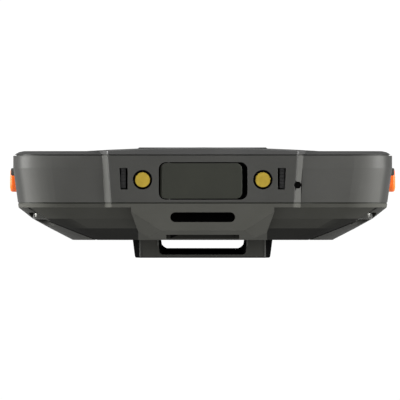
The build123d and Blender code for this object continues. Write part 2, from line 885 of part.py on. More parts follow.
def rocker_pin_bore():
    half = rocker_height / 2 + key_gap + rocker_pin_hold
    return post(-rocker_pin_x, rocker_y, rocker_pin_radius, trigger_centre_height - half,
                trigger_centre_height + half)


def window_openings():
    """A stepped opening: the window's seat, and the clear view behind it."""
    seat = Pos(0, window_centre_height) * RectangleRounded(
        window_width + 2 * window_gap, window_height + 2 * window_gap, window_radius)
    seat_low = boss_face - window_set_back - window_thickness
    view = Pos(0, window_centre_height) * RectangleRounded(
        window_width - 2 * window_border, window_height - 2 * window_gap, window_radius / 2)
    front = along_y(seat, seat_low, boss_face + overcut)
    return front + along_y(view, cavity_half_length - overcut, boss_face)


def ear_pockets():
    low = ledge_height - overcut
    high = glass_bed_height + overcut
    ear = plate(earpiece_width + 2 * pocket_gap, earpiece_length + 2 * pocket_gap, pocket_radius,
                low, high, 0, earpiece_y)
    size = front_camera_size + 2 * pocket_gap
    eye = plate(size, size, pocket_radius, low, high, front_camera_x, earpiece_y)
    return ear + eye


def status_slot(z_low):
    y = half_length - (half_length - glass_length / 2) / 2
    outline = Pos(status_lens_x, y, z_low) * SlotOverall(status_lens_width, status_lens_length)
    return extrude(outline, amount=bezel_top_height - z_low)


def front_housing():
    shell = front_shell()
    shell += end_boss(parting_height, bezel_seat_height)
    shell += nose(parting_height, bezel_seat_height)
    radius = corner_radius - side_wall
    shell -= plate(2 * cavity_half_width, 2 * cavity_half_length, radius, 0, ledge_height)
    window_growth = 2 * display_gap
    shell -= plate(display_width + window_growth, display_length + window_growth,
                   display_radius + display_gap, ledge_height - overcut, bezel_top_height, y=display_y)
    shell -= plate(glass_width + 2 * glass_gap, glass_length + 2 * glass_gap, glass_radius,
                   glass_bed_height, bezel_top_height)
    for x, y in casing_points():
        shell += post(x, y, casing_boss_radius, parting_height, casing_boss_top)
    for y in casing_screw_rows:
        for side in (-1, 1):
            shell += boss_web(side, y)
    for x, y in casing_points():
        shell -= post(x, y, casing_screw_radius + thread_clearance, parting_height - overcut,
                      casing_screw_end + screw_point_room)
    shell -= [port_recess(), port_cover_pin()]
    shell -= contact_bores()
    shell -= dock_slots()
    shell -= mic_hole()
    shell -= key_openings()
    shell -= window_openings()
    shell -= ear_pockets()
    shell -= status_slot(bezel_seat_height - status_lens_depth)
    shell -= [foot_reveal(), rim_reveal()]
    return shell


def boss_web(side, y):
    """A rib that ties a screw boss to the side wall."""
    half = casing_web_thickness / 2
    web = block(casing_screw_x, cavity_half_width + half, y - half, y + half, parting_height, casing_boss_top)
    return web if side > 0 else mirror(web, about=Plane.YZ)


def crown_profile(half_width, rise):
    """A low arch over the chin, flat underneath."""
    base = bezel_seat_height
    arch = ThreePointArc((half_width, bezel_top_height), (0, bezel_top_height + rise),
                         (-half_width, bezel_top_height))
    sides = Polyline((-half_width, bezel_top_height), (-half_width, base), (half_width, base),
                     (half_width, bezel_top_height))
    return make_face(arch + sides)


def screen_bezel():
    outer = [
        (bezel_seat_height, half_width - bezel_seat_inset, half_length - bezel_seat_inset,
         corner_radius - bezel_seat_inset),
        (bezel_edge_height, half_width - bezel_edge_inset, half_length - bezel_edge_inset,
         corner_radius - bezel_edge_inset),
        (bezel_top_height, half_width - bezel_top_inset, half_length - bezel_top_inset,
         corner_radius - bezel_top_inset),
    ]
    rim = stack(outer)
    low_window = -glass_length / 2 + glass_gap
    crown = crown_profile(chin_crown_half_width, chin_crown_rise)
    chin = along_y(crown, -half_length + bezel_top_inset, low_window)
    half_top = boss_half_width(bezel_seat_height)
    lip = along_y(crown, -boss_face, low_window)
    lip &= extrude(boss_footprint(half_top, -1), amount=bezel_top_height + chin_crown_rise + overcut)
    lip = fillet(upright_edges(lip, -boss_face), boss_edge_radius)
    lip = fillet(top_edges(lip, -boss_face), crown_edge_radius)
    brow = nose(bezel_seat_height, bezel_top_height)
    brow = fillet(top_edges(brow, boss_face), crown_edge_radius)
    rim += [chin, lip, brow]
    rim -= brow_outline(bezel_top_height - brow_seat_depth, bezel_top_height + overcut)
    rim -= plate(glass_width + 2 * glass_gap, glass_length + 2 * glass_gap, glass_radius,
                 bezel_seat_height - overcut, bezel_top_height + chin_crown_rise + overcut)
    rim -= status_slot(bezel_seat_height - overcut)
    return rim


def brow_outline(z_low, z_high):
    middle = boss_face - boss_edge_radius - brow_length / 2
    return plate(2 * brow_half_width, brow_length, brow_radius, z_low, z_high, y=middle)


def brow_bumper():
    """Soft bar that keeps the glass off a table when the terminal lies on its face."""
    bar = brow_outline(bezel_top_height - brow_seat_depth, bezel_top_height + brow_rise)
    return fillet(bar.faces().sort_by(Axis.Z)[-1].edges(), brow_radius / 2)


def touch_glass():
    glass = plate(glass_width, glass_length, glass_radius, glass_bed_height, glass_top)
    top_rim = glass.faces().sort_by(Axis.Z)[-1].outer_wire().edges()
    glass = chamfer(top_rim, glass_bevel)
    slot = Pos(0, earpiece_y, glass_bed_height) * SlotOverall(earpiece_slot_width, earpiece_slot_height)
    return glass - extrude(slot, amount=glass_thickness)


def display_panel():
    return plate(display_width, display_length, display_radius, ledge_height, glass_bed_height, y=display_y)


def mid_frame():
    """Cast chassis plate: it carries the display above, and the board on its posts below."""
    frame = plate(frame_width, frame_length, frame_radius, frame_bottom, ledge_height)
    for x, y in casing_points():
        frame -= post(x, y, casing_boss_radius + key_gap, frame_bottom - overcut, ledge_height + overcut)
    for side in (-1, 1):
        for y in standoff_rows:
            frame += post(side * standoff_x, y, standoff_radius, board_top, frame_bottom)
            frame -= post(side * standoff_x, y, board_screw_radius + thread_clearance, board_top,
                          frame_bottom + standoff_bore_room)
    cable_window = plate(cable_window_width, cable_window_length, frame_radius / 2, frame_bottom - overcut,
                         ledge_height + overcut, y=cable_window_y)
    socket_half = socket_width / 2 + port_notch_gap
    socket_back = -boss_face + port_recess_depth + socket_length + port_notch_gap
    notch = block(-socket_half, socket_half, -half_length, socket_back, frame_bottom - overcut,
                  ledge_height + overcut)
    return frame - cable_window - notch


# ---- board and what it carries ----
def main_board():
    length = board_high_y - board_low_y
    middle = (board_high_y + board_low_y) / 2
    board = plate(board_width, length, board_radius, board_bottom, board_top, y=middle)
    radius = board_screw_radius + running_clearance
    for side in (-1, 1):
        for y in standoff_rows:
            board -= post(side * standoff_x, y, radius, 0, board_top + overcut)
    return board


def board_screws():
    screws = []
    for side in (-1, 1):
        for y in standoff_rows:
            shank = post(side * standoff_x, y, board_screw_radius, board_bottom, frame_bottom)
            head = post(side * standoff_x, y, board_screw_head_radius,
                        board_bottom - board_screw_head_height, board_bottom)
            screws.append(shank + head)
    return screws


def shield_can(centre, width, length):
    can = plate(width, length, shield_radius, board_top, board_top + shield_height, *centre)
    inside = plate(width - 2 * shield_wall, length - 2 * shield_wall, shield_radius - shield_wall,
                   board_top, board_top + shield_height - shield_wall, *centre)
    return can - inside


def vibration_motor():
    return post(motor_centre[0], motor_centre[1], motor_radius, board_top, board_top + motor_height)


def usb_shell():
    front_y = -boss_face + port_recess_depth + socket_set_back
    outline = Pos(0, socket_centre()) * RectangleRounded(socket_width, socket_height, socket_radius)
    inner = Pos(0, socket_centre()) * RectangleRounded(
        socket_width - 2 * socket_wall, socket_height - 2 * socket_wall, socket_radius - socket_wall)
    shell = along_y(outline, front_y, front_y + socket_length)
    return shell - along_y(inner, front_y - overcut, front_y + socket_length - socket_wall)


def usb_tongue():
    back_y = -boss_face + port_recess_depth + socket_set_back + socket_length - socket_wall
    outline = Pos(0, socket_centre()) * RectangleRounded(tongue_width, tongue_height, tongue_radius)
    return along_y(outline, back_y - tongue_length, back_y)


def bottom_microphone():
    half = mic_size / 2
    low_y = -cavity_half_length + running_clearance
    return block(mic_x - half, mic_x + half, low_y, low_y + mic_size, board_top, board_top + mic_thickness)


# ---- charging end ----
def port_cover():
    """Rubber flap that turns on a pin near its left end."""
    width = port_cover_right - port_cover_left
    middle = (port_cover_right + port_cover_left) / 2
    inner_y = -boss_face + port_cover_thickness
    outline = Pos(middle, port_centre_height) * RectangleRounded(
        width, port_cover_height, port_recess_radius - cover_clearance)
    flap = along_y(outline, -boss_face, inner_y)
    round_x = port_cover_left + port_cover_round
    round_y = -boss_face + port_cover_round
    corner = block(port_cover_left - overcut, round_x, -boss_face - overcut, round_y, 0, bezel_top_height)
    flap -= corner - post(round_x, round_y, port_cover_round, -overcut, bezel_top_height + overcut)
    lug = RectangleRounded(port_cover_lug_width, port_cover_lug_height, socket_radius)
    lug = Pos(0, socket_centre()) * lug
    flap += along_y(lug, inner_y, inner_y + port_cover_lug)
    return flap - post(port_pin_x, port_pin_y, port_pin_radius + running_clearance, 0, bezel_top_height)


def port_cover_pin():
    half = port_recess_height / 2 + port_pin_hold
    return post(port_pin_x, port_pin_y, port_pin_radius, port_centre_height - half, port_centre_height + half)


def charging_contact(side):
    x = side * contact_spacing / 2
    face_y = -boss_face + contact_set_back
    pad = along_y(Pos(x, contact_height) * Circle(contact_radius), face_y, face_y + contact_length)
    tail_end = board_low_y + contact_foot_end
    tail = along_y(Pos(x, contact_height) * Circle(contact_tail_radius), face_y, tail_end)
    foot = block(x - contact_tail_radius, x + contact_tail_radius, board_low_y + contact_foot_start,
                 tail_end, board_top, contact_height)
    return pad + tail + foot


def contact_seal(side):
    x = side * contact_spacing / 2
    face_y = -boss_face + seal_set_back
    ring = Pos(x, contact_height) * (Circle(seal_radius) - Circle(contact_radius))
    return along_y(ring, face_y, face_y + contact_length - seal_set_back)


# ---- side triggers and keys ----
def pressed_key(y, length, height, face_x, travel):
    """A key cap with its flange inside the wall and the post that works its switch."""
    cap = along_x(key_outline(y, length, height), key_flange_outer - key_root, face_x)
    cap = fillet(cap.faces().sort_by(Axis.X)[-1].edges(), key_edge_radius)
    flange = along_x(key_outline(y, length, height, key_flange_margin), key_flange_inner, key_flange_outer)
    headroom = frame_bottom - bay_gap
    flange &= block(0, body_width, y - length, y + length, 0, headroom)
    switch_face = switch_top + switch_gap + travel
    tip = along_x(Pos(y, trigger_centre_height) * Circle(key_post_radius), switch_face, key_flange_inner)
    return cap + flange + tip


def side_trigger(side):
    key = pressed_key(trigger_y, trigger_length, trigger_height, trigger_face, trigger_travel)
    return key if side > 0 else mirror(key, about=Plane.YZ)


def power_key():
    return pressed_key(power_key_y, power_key_length, power_key_height, power_key_face, power_key_travel)


def volume_rocker():
    cap = along_x(key_outline(rocker_y, rocker_length, rocker_height), rocker_back, rocker_face)
    cap = fillet(cap.faces().sort_by(Axis.X)[-1].edges(), key_edge_radius)
    for offset in (-rocker_switch_offset, rocker_switch_offset):
        cap += along_x(Pos(rocker_y + offset, trigger_centre_height) * Circle(key_post_radius),
                       rocker_back - rocker_post_reach, rocker_back)
    cap = mirror(cap, about=Plane.YZ)
    return cap - post(-rocker_pin_x, rocker_y, rocker_pin_radius + running_clearance, 0, bezel_top_height)


def side_switch(side, y, reach):
    half = switch_width / 2
    body = block(key_board_outer, reach, y - half, y + half, trigger_centre_height - switch_height / 2,
                 trigger_centre_height + switch_height / 2)
    return body if side > 0 else mirror(body, about=Plane.YZ)


def volume_switches():
    reach = rocker_back - rocker_post_reach - rocker_travel - switch_gap
    offsets = (-rocker_switch_offset, rocker_switch_offset)
    return [side_switch(-1, rocker_y + offset, reach) for offset in offsets]


def side_key_board(side):
    strip = block(key_board_inner, key_board_outer, key_board_low_y, key_board_high_y, board_bottom,
                  frame_bottom - key_gap)
    return strip if side > 0 else mirror(strip, about=Plane.YZ)


# ---- battery ----
def battery_pack():
    pack = plate(battery_width, battery_length, battery_radius, battery_bottom, battery_top, y=battery_mid_y)
    return fillet(pack.edges().filter_by(GeomType.LINE).group_by(Axis.Z)[0], battery_edge_radius)


def battery_contact_block():
    half = contact_block_width / 2
    low_y = battery_high_y + blade_thickness
    return block(-half, half, low_y, bay_end_y, contact_block_bottom, contact_block_top)


def battery_blades():
    blades = []
    first = -(blade_count - 1) * blade_pitch / 2
    for index in range(blade_count):
        x = first + index * blade_pitch
        blades.append(block(x - blade_width / 2, x + blade_width / 2, battery_high_y,
                            battery_high_y + blade_thickness, contact_block_bottom + blade_inset,
                            contact_block_top - blade_inset))
    return blades


def latch_window(x):
    length = latch_length + latch_travel + 2 * latch_gap
    middle = latch_y - latch_travel / 2
    return plate(latch_width + 2 * latch_gap, length, latch_radius + latch_gap, -overcut,
                 door_thickness + overcut, x, middle)


def battery_door():
    """The door turns about the rounded edge at its charging end, held there by two tabs."""
    door = plate(2 * door_half_width, door_length, door_radius, 0, door_thickness, y=door_mid_y)
    round_radius = door_thickness / 2
    edge = along_x(Pos(door_low_y + round_radius, round_radius) * Circle(round_radius),
                   -door_half_width, door_half_width)
    rest = block(-door_half_width, door_half_width, door_low_y + round_radius, door_high_y,
                 0, door_thickness)
    door &= edge + rest
    for side in (-1, 1):
        half = toe_tab_width / 2
        x = side * toe_tab_x
        tab_low = door_thickness + toe_tab_lift
        root_high = door_low_y + toe_tab_root
        door += block(x - half, x + half, door_low_y - toe_tab_reach, root_high, tab_low,
                      tab_low + toe_tab_thickness)
        door += block(x - half, x + half, door_low_y + toe_tab_gap, root_high, door_thickness / 2, tab_low)
        door -= latch_window(side * latch_x)
    return door


def door_latch(side):
    x = side * latch_x
    low = door_thickness + latch_plate_gap
    thumb = plate(latch_width, latch_length, latch_radius, latch_recess, low, x, latch_y)
    half = latch_width / 2 + latch_plate_margin
    keeper_end = door_high_y + door_gap + latch_tongue_reach
    keeper = block(x - half, x + half, latch_y - latch_length / 2, keeper_end,
                   low, low + latch_plate_thickness)
    shifts = (-latch_ridge_pitch, 0.0, latch_ridge_pitch)
    return thumb + keeper + [latch_ridge(x, latch_y + shift) for shift in shifts]


def latch_ridge(x, y):
    """One of the raised bars that the thumb nail pulls on."""
    half_long = latch_width / 2 - latch_ridge_margin
    half_wide = latch_ridge_width / 2
    return block(x - half_long, x + half_long, y - half_wide, y + half_wide,
                 latch_recess - latch_ridge_height, latch_recess)


def card_socket():
    half = card_socket_width / 2
    y_mid = (bay_end_y + bay_wall + card_bay_end_y) / 2
    return block(-half, half, y_mid - card_socket_length / 2, y_mid + card_socket_length / 2,
                 card_bay_ceiling - card_socket_thickness, card_bay_ceiling)


def nfc_antenna():
    return plate(antenna_width, antenna_length, antenna_radius, door_thickness,
                 door_thickness + antenna_thickness, y=antenna_y)


# ---- imager, cameras, sounders ----
def scan_window():
    outline = Pos(0, window_centre_height) * RectangleRounded(window_width, window_height, window_radius)
    low = boss_face - window_set_back - window_thickness
    return along_y(outline, low, low + window_thickness)


def scan_engine():
    front_y = cavity_half_length - engine_gap
    half = engine_width / 2
    body = block(-half, half, front_y - engine_length, front_y, engine_bottom, frame_bottom)
    lens = along_y(Pos(-half / 2, window_centre_height) * Circle(engine_lens_radius), front_y,
                   front_y + engine_lens_reach)
    aimer = along_y(Pos(half / 2, window_centre_height) * Circle(engine_lens_radius / 2), front_y,
                    front_y + engine_lens_reach)
    return body + lens + aimer


def earpiece():
    return plate(earpiece_width, earpiece_length, pocket_radius - pocket_gap, ledge_height,
                 glass_bed_height - earpiece_gap, y=earpiece_y)


def earpiece_mesh():
    outline = Pos(0, earpiece_y, glass_bed_height) * SlotOverall(earpiece_slot_width, earpiece_slot_height)
    return extrude(outline, amount=glass_thickness - mesh_set_back)


def front_camera():
    body_top = glass_bed_height - front_camera_lens_height
    body = plate(front_camera_size, front_camera_size, front_camera_radius, ledge_height, body_top,
                 front_camera_x, earpiece_y)
    return body + post(front_camera_x, earpiece_y, front_camera_lens_radius, body_top, glass_bed_height)


def status_lens():
    return status_slot(bezel_seat_height - status_lens_depth)


def camera_window():
    return plate(camera_window_width, camera_window_length, camera_window_radius, camera_window_set_back,
                 camera_window_thickness, camera_x, camera_y)


def rear_camera():
    x = camera_x + camera_offset
    top = back_wall + camera_thickness
    body = plate(camera_size, camera_size, camera_radius, back_wall, top, x, camera_y)
    return body + post(x, camera_y, camera_lens_radius, camera_window_thickness, back_wall)


def flash_lamp():
    half = flash_size / 2
    x = camera_x + flash_offset
    return block(x - half, x + half, camera_y - half, camera_y + half, camera_window_thickness,
                 camera_window_thickness + flash_thickness)


def loudspeaker():
    low = back_wall + mesh_thickness
    return plate(speaker_width, speaker_length, speaker_radius, low, low + speaker_thickness, speaker_x,
                 camera_y)


def speaker_mesh():
    return plate(speaker_width - 2 * mesh_margin, speaker_length - 2 * mesh_margin,
                 speaker_radius - mesh_margin, back_wall, back_wall + mesh_thickness, speaker_x, camera_y)


# ---- strap loop, screws, seal ----
def loop_section(half_top, half_bottom, drop, y):
    """A section under the back, drawn a little past both ends of its height."""
    lean = (half_bottom - half_top) * overcut / drop
    points = [(half_bottom + lean, -drop - overcut), (half_top - lean, overcut)]
    return Plane((0, y, 0), x_dir=(1, 0, 0), z_dir=(0, -1, 0)) * mirrored_polygon(points)


def hole_section(half_top, drop, y):
    points = [(half_top - loop_hole_taper, -drop), (half_top, 0)]
    return Plane((0, y, 0), x_dir=(1, 0, 0), z_dir=(0, -1, 0)) * mirrored_polygon(points)


def strap_loop():
    """A low arch. Its outside widens towards the imager, and its hole narrows."""
    outside = loft([
        loop_section(loop_near_half_width, loop_near_half_width, loop_drop, loop_low_y),
        loop_section(loop_far_half_width, loop_far_foot_half_width, loop_drop, loop_high_y),
    ], ruled=True)
    outside &= block(-loop_far_half_width, loop_far_half_width, loop_low_y, loop_high_y, -loop_drop, 0)
    outside = fillet(outside.faces().sort_by(Axis.Z)[0].edges(), loop_edge_radius)
    hole = loft([
        hole_section(loop_hole_near_half_width, loop_hole_near_drop, loop_low_y),
        hole_section(loop_hole_far_half_width, loop_hole_far_drop, loop_high_y),
    ], ruled=True)
    lower = hole.faces().sort_by(Axis.Z)[0].edges().filter_by(lambda e: abs(e.tangent_at(0.5).Y) > 0.5)
    hole = fillet(lower, loop_hole_radius)
    loop = outside - hole
    for x, y in loop_points():
        low = -loop_drop - overcut
        loop -= post(x, y, loop_screw_radius + running_clearance, low, overcut)
        loop -= post(x, y, loop_screw_head_radius + running_clearance, low,
                     -loop_drop + loop_head_recess + loop_screw_head_height)
    return loop


def hex_socket(x, y, radius, z_low):
    outline = Pos(x, y, z_low) * RegularPolygon(radius, 6)
    return extrude(outline, amount=screw_socket_depth)


def loop_screws():
    screws = []
    for x, y in loop_points():
        head_low = -loop_drop + loop_head_recess
        head = post(x, y, loop_screw_head_radius, head_low, head_low + loop_screw_head_height)
        shank = post(x, y, loop_screw_radius, head_low, loop_screw_end)
        screws.append(head + shank - hex_socket(x, y, loop_socket_radius, head_low))
    return screws


def casing_screws():
    screws = []
    for x, y in casing_points():
        head_low = casing_head_seat - casing_head_height
        head = post(x, y, casing_head_radius, head_low, casing_head_seat)
        shank = post(x, y, casing_screw_radius, head_low, casing_screw_end)
        screws.append(head + shank - hex_socket(x, y, casing_socket_radius, head_low))
    return screws


def solids_of(piece):
    """The separate solids in a piece or in a list of pieces."""
    if isinstance(piece, (list, tuple)):
        return [solid for item in piece for solid in solids_of(item)]
    return list(piece.solids())


def save(name, piece):
    lifted = [Pos(0, 0, loop_drop) * solid for solid in solids_of(piece)]
    shape = lifted[0] if len(lifted) == 1 else Compound(children=lifted)
    export_step(shape, f"parts/{name}.step")


save("rear_housing", rear_housing())
save("front_housing", front_housing())
save("screen_bezel", screen_bezel())
save("brow_bumper", brow_bumper())
save("touch_glass", touch_glass())
save("display_panel", display_panel())
save("mid_frame", mid_frame())
save("main_board", main_board())
save("board_screws", board_screws())
save("processor_shield", shield_can(processor_shield_centre, processor_shield_size, processor_shield_size))
save("radio_shield", shield_can(radio_shield_centre, radio_shield_width, radio_shield_length))
save("vibration_motor", vibration_motor())
save("usb_shell", usb_shell())
save("usb_tongue", usb_tongue())
save("bottom_microphone", bottom_microphone())
save("port_cover", port_cover())
save("port_cover_pin", port_cover_pin())
for name, side in (("left", -1), ("right", 1)):
    save(f"charging_contact_{name}", charging_contact(side))
    save(f"contact_seal_{name}", contact_seal(side))
    save(f"trigger_{name}", side_trigger(side))
    save(f"trigger_switch_{name}", side_switch(side, trigger_y, switch_top))
    save(f"side_key_board_{name}", side_key_board(side))
    save(f"side_grip_{name}", side_grip(side))
    save(f"door_latch_{name}", door_latch(side))
save("power_key", power_key())
save("power_switch", side_switch(1, power_key_y, switch_top))
save("volume_rocker", volume_rocker())
save("volume_rocker_pin", rocker_pin_bore())
save("volume_switches", volume_switches())
save("battery_pack", battery_pack())
save("battery_door", battery_door())
save("battery_contact_block", battery_contact_block())
save("battery_blades", battery_blades())
save("card_socket", card_socket())
save("nfc_antenna", nfc_antenna())
save("scan_window", scan_window())
save("scan_engine", scan_engine())
save("earpiece", earpiece())
save("earpiece_mesh", earpiece_mesh())
save("front_camera", front_camera())
save("status_lens", status_lens())
save("camera_window", camera_window())
save("rear_camera", rear_camera())
save("flash_lamp", flash_lamp())
save("loudspeaker", loudspeaker())
save("speaker_mesh", speaker_mesh())
save("strap_loop", strap_loop())
save("loop_screws", loop_screws())
save("casing_screws", casing_screws())
save("housing_seal", seal_ring())
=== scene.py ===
import bpy
import bmesh
import json
import math
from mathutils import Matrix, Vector


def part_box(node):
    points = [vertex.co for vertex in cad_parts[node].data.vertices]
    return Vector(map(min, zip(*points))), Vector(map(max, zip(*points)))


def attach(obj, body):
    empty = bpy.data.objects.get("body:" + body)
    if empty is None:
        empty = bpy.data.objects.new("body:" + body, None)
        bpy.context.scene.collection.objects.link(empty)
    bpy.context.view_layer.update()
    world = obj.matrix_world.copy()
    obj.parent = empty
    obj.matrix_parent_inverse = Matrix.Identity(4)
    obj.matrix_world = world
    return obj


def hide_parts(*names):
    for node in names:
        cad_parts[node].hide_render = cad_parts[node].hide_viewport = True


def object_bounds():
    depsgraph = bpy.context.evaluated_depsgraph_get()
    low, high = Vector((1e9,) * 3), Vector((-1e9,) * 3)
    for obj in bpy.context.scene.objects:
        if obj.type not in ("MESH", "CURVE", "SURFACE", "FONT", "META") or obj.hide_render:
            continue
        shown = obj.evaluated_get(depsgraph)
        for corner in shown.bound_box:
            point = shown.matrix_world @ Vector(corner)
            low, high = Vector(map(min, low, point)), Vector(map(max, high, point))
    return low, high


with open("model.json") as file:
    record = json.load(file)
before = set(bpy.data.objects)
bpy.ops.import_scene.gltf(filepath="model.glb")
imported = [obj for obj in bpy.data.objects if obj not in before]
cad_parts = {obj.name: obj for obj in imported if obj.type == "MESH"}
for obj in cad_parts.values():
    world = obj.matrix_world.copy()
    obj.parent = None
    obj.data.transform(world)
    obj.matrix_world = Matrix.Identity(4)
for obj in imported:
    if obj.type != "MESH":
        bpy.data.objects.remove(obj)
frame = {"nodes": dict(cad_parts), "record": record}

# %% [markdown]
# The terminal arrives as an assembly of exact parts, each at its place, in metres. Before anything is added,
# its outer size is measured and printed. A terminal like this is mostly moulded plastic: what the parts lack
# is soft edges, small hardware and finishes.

MM = 0.001
cad_low, cad_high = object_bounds()
cad_size = [round((high - low) / MM, 2) for low, high in zip(cad_low, cad_high)]
print("the part measures", cad_size, "mm")

# %% [markdown]
# Blender's operators work on whatever is selected. The loaded parts come in selected, so a small helper
# clears the selection and makes one piece active. Two more open and close its mesh for editing, and three
# pick its faces, edges or points by their place and direction, which is what a hand would do with the
# mouse. All places in these tests are in millimetres.

# %% Selecting


def take(piece):
    """Makes one piece the only selected and active one, in object mode."""
    if bpy.context.object and bpy.context.object.mode == "EDIT":
        bpy.ops.object.mode_set(mode="OBJECT")
    bpy.ops.object.select_all(action="DESELECT")
    piece.select_set(True)
    bpy.context.view_layer.objects.active = piece


def open_mesh(piece, kind="FACE"):
    take(piece)
    bpy.ops.object.mode_set(mode="EDIT")
    bpy.ops.mesh.select_mode(type=kind)
    bpy.ops.mesh.select_all(action="DESELECT")


def close_mesh():
    bpy.ops.object.mode_set(mode="OBJECT")


def pick_faces(piece, test):
    """Selects the faces whose middle and normal pass the test."""
    mesh = bmesh.from_edit_mesh(piece.data)
    for face in mesh.faces:
        face.select_set(test(face.calc_center_median() / MM, face.normal))
    mesh.select_flush_mode()
    bmesh.update_edit_mesh(piece.data)


def pick_edges(piece, test):
    """Selects the edges whose two ends pass the test, and returns how many they are."""
    mesh = bmesh.from_edit_mesh(piece.data)
    count = 0
    for edge in mesh.edges:
        chosen = test(edge.verts[0].co / MM, edge.verts[1].co / MM)
        edge.select_set(chosen)
        count += chosen
    bmesh.update_edit_mesh(piece.data)
    return count


def pick_points(piece, test):
    """Selects the points whose place passes the test."""
    mesh = bmesh.from_edit_mesh(piece.data)
    for vert in mesh.verts:
        vert.select_set(test(vert.co / MM))
    bmesh.update_edit_mesh(piece.data)


def box_mm(name):
    """A part's lowest and highest corner."""
    return tuple(Vector(corner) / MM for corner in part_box(name))


nodes = frame["nodes"]
print(len(nodes), "parts loaded")

# %% [markdown]
# A finished piece has its object at the origin, unturned and unscaled, and its place in its mesh. That
# keeps patterns still, and the export needs it. Each piece then rides on a body, takes a material, and
# may stand for one or more of the exact parts, which are hidden but still carry the physics.


def settle(piece, material, body="casing", stands_for=(), angle=35):
    """Applies the piece's place, smooths its gentle edges, and ties it to its body and finish."""
    take(piece)
    bpy.ops.object.transform_apply(location=True, rotation=True, scale=True)
    bpy.ops.object.shade_smooth_by_angle(angle=math.radians(angle))
    piece.data.materials.clear()
    piece.data.materials.append(material)
    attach(piece, body)
    if stands_for:
        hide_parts(*stands_for)
    return piece


def bevel_all(piece, width, segments=2, angle=30):
    """A Bevel modifier on the sharp edges, applied at once."""
    take(piece)
    bevel = piece.modifiers.new("soft_edges", "BEVEL")
    bevel.width = width * MM
    bevel.segments = segments
    bevel.limit_method = "ANGLE"
    bevel.angle_limit = math.radians(angle)
    bevel.use_clamp_overlap = False
    bpy.ops.object.modifier_apply(modifier=bevel.name)


# %% [markdown]
# Moulded plastic is never quite flat or quite one colour. The tool's surface is spark-eroded, which leaves
# a random grain, finer than half a millimetre, and no batch of pellets melts to a perfectly even colour.
# One function makes all such finishes: a noise at grain scale lifts the surface through a Bump node and
# varies its roughness, and a broader noise shifts the colour. Painting a texture would need an image and
# would stretch. Where a part keeps its exact, sharp-edged mesh, a Bevel node rounds the edges in shading.

# %% A finish with grain


def new_finish(name):
    material = bpy.data.materials.new(name)
    material.use_nodes = True
    return material


def shader_of(material):
    return material.node_tree.nodes["Principled BSDF"]


def place(material, scale=(1, 1, 1)):
    """Object coordinates in millimetres, stretched where a pattern has a direction."""
    tree = material.node_tree
    where = tree.nodes.new("ShaderNodeTexCoord")
    mapping = tree.nodes.new("ShaderNodeMapping")
    mapping.inputs["Scale"].default_value = [value / MM for value in scale]
    tree.links.new(where.outputs["Object"], mapping.inputs["Vector"])
    return mapping.outputs["Vector"]


def noise(material, vector, scale, detail=2.0, roughness=0.5):
    made = material.node_tree.nodes.new("ShaderNodeTexNoise")
    made.inputs["Scale"].default_value = scale
    made.inputs["Detail"].default_value = detail
    made.inputs["Roughness"].default_value = roughness
    material.node_tree.links.new(vector, made.inputs["Vector"])
    return made.outputs["Fac"]


def spread(material, factor, low, high, from_low=0.3, from_high=0.7):
    """Maps a 0 to 1 pattern onto a range of values."""
    made = material.node_tree.nodes.new("ShaderNodeMapRange")
    made.inputs["From Min"].default_value = from_low
    made.inputs["From Max"].default_value = from_high
    made.inputs["To Min"].default_value = low
    made.inputs["To Max"].default_value = high
    material.node_tree.links.new(factor, made.inputs["Value"])
    return made.outputs["Result"]


def blend_colours(material, factor, dark, light):
    made = material.node_tree.nodes.new("ShaderNodeMix")
    made.data_type = "RGBA"
    made.inputs["A"].default_value = (*dark, 1)
    made.inputs["B"].default_value = (*light, 1)
    material.node_tree.links.new(factor, made.inputs["Factor"])
    return made.outputs["Result"]


def bump(material, height, distance, strength=1.0, normal=None):
    """distance is the height of the grain in millimetres."""
    made = material.node_tree.nodes.new("ShaderNodeBump")
    made.inputs["Distance"].default_value = distance * MM
    made.inputs["Strength"].default_value = strength
    material.node_tree.links.new(height, made.inputs["Height"])
    if normal:
        material.node_tree.links.new(normal, made.inputs["Normal"])
    return made.outputs["Normal"]


def rounded(material, radius):
    """Makes sharp edges catch light as if they had a radius in millimetres."""
    made = material.node_tree.nodes.new("ShaderNodeBevel")
    made.samples = 4
    made.inputs["Radius"].default_value = radius * MM
    return made.outputs["Normal"]


cloud_cycles = 0.12   # cycles in a millimetre
rough_swing = 0.05


def grained(name, dark, light, rough, grain=6.0, depth=0.012, specular=0.5, edge=0.0):
    """Moulded plastic or rubber: grain is in cycles per millimetre, depth and edge in millimetres."""
    material = new_finish(name)
    shader = shader_of(material)
    links = material.node_tree.links
    vector = place(material)
    broad = noise(material, vector, cloud_cycles, 3.0)
    fine = noise(material, vector, grain, 2.0, 0.6)
    tone = spread(material, broad, 0.0, 1.0)
    links.new(blend_colours(material, tone, dark, light), shader.inputs["Base Color"])
    links.new(spread(material, fine, rough - rough_swing, rough + rough_swing), shader.inputs["Roughness"])
    base = rounded(material, edge) if edge else None
    links.new(bump(material, fine, depth, normal=base), shader.inputs["Normal"])
    shader.inputs["Specular IOR Level"].default_value = specular
    return material


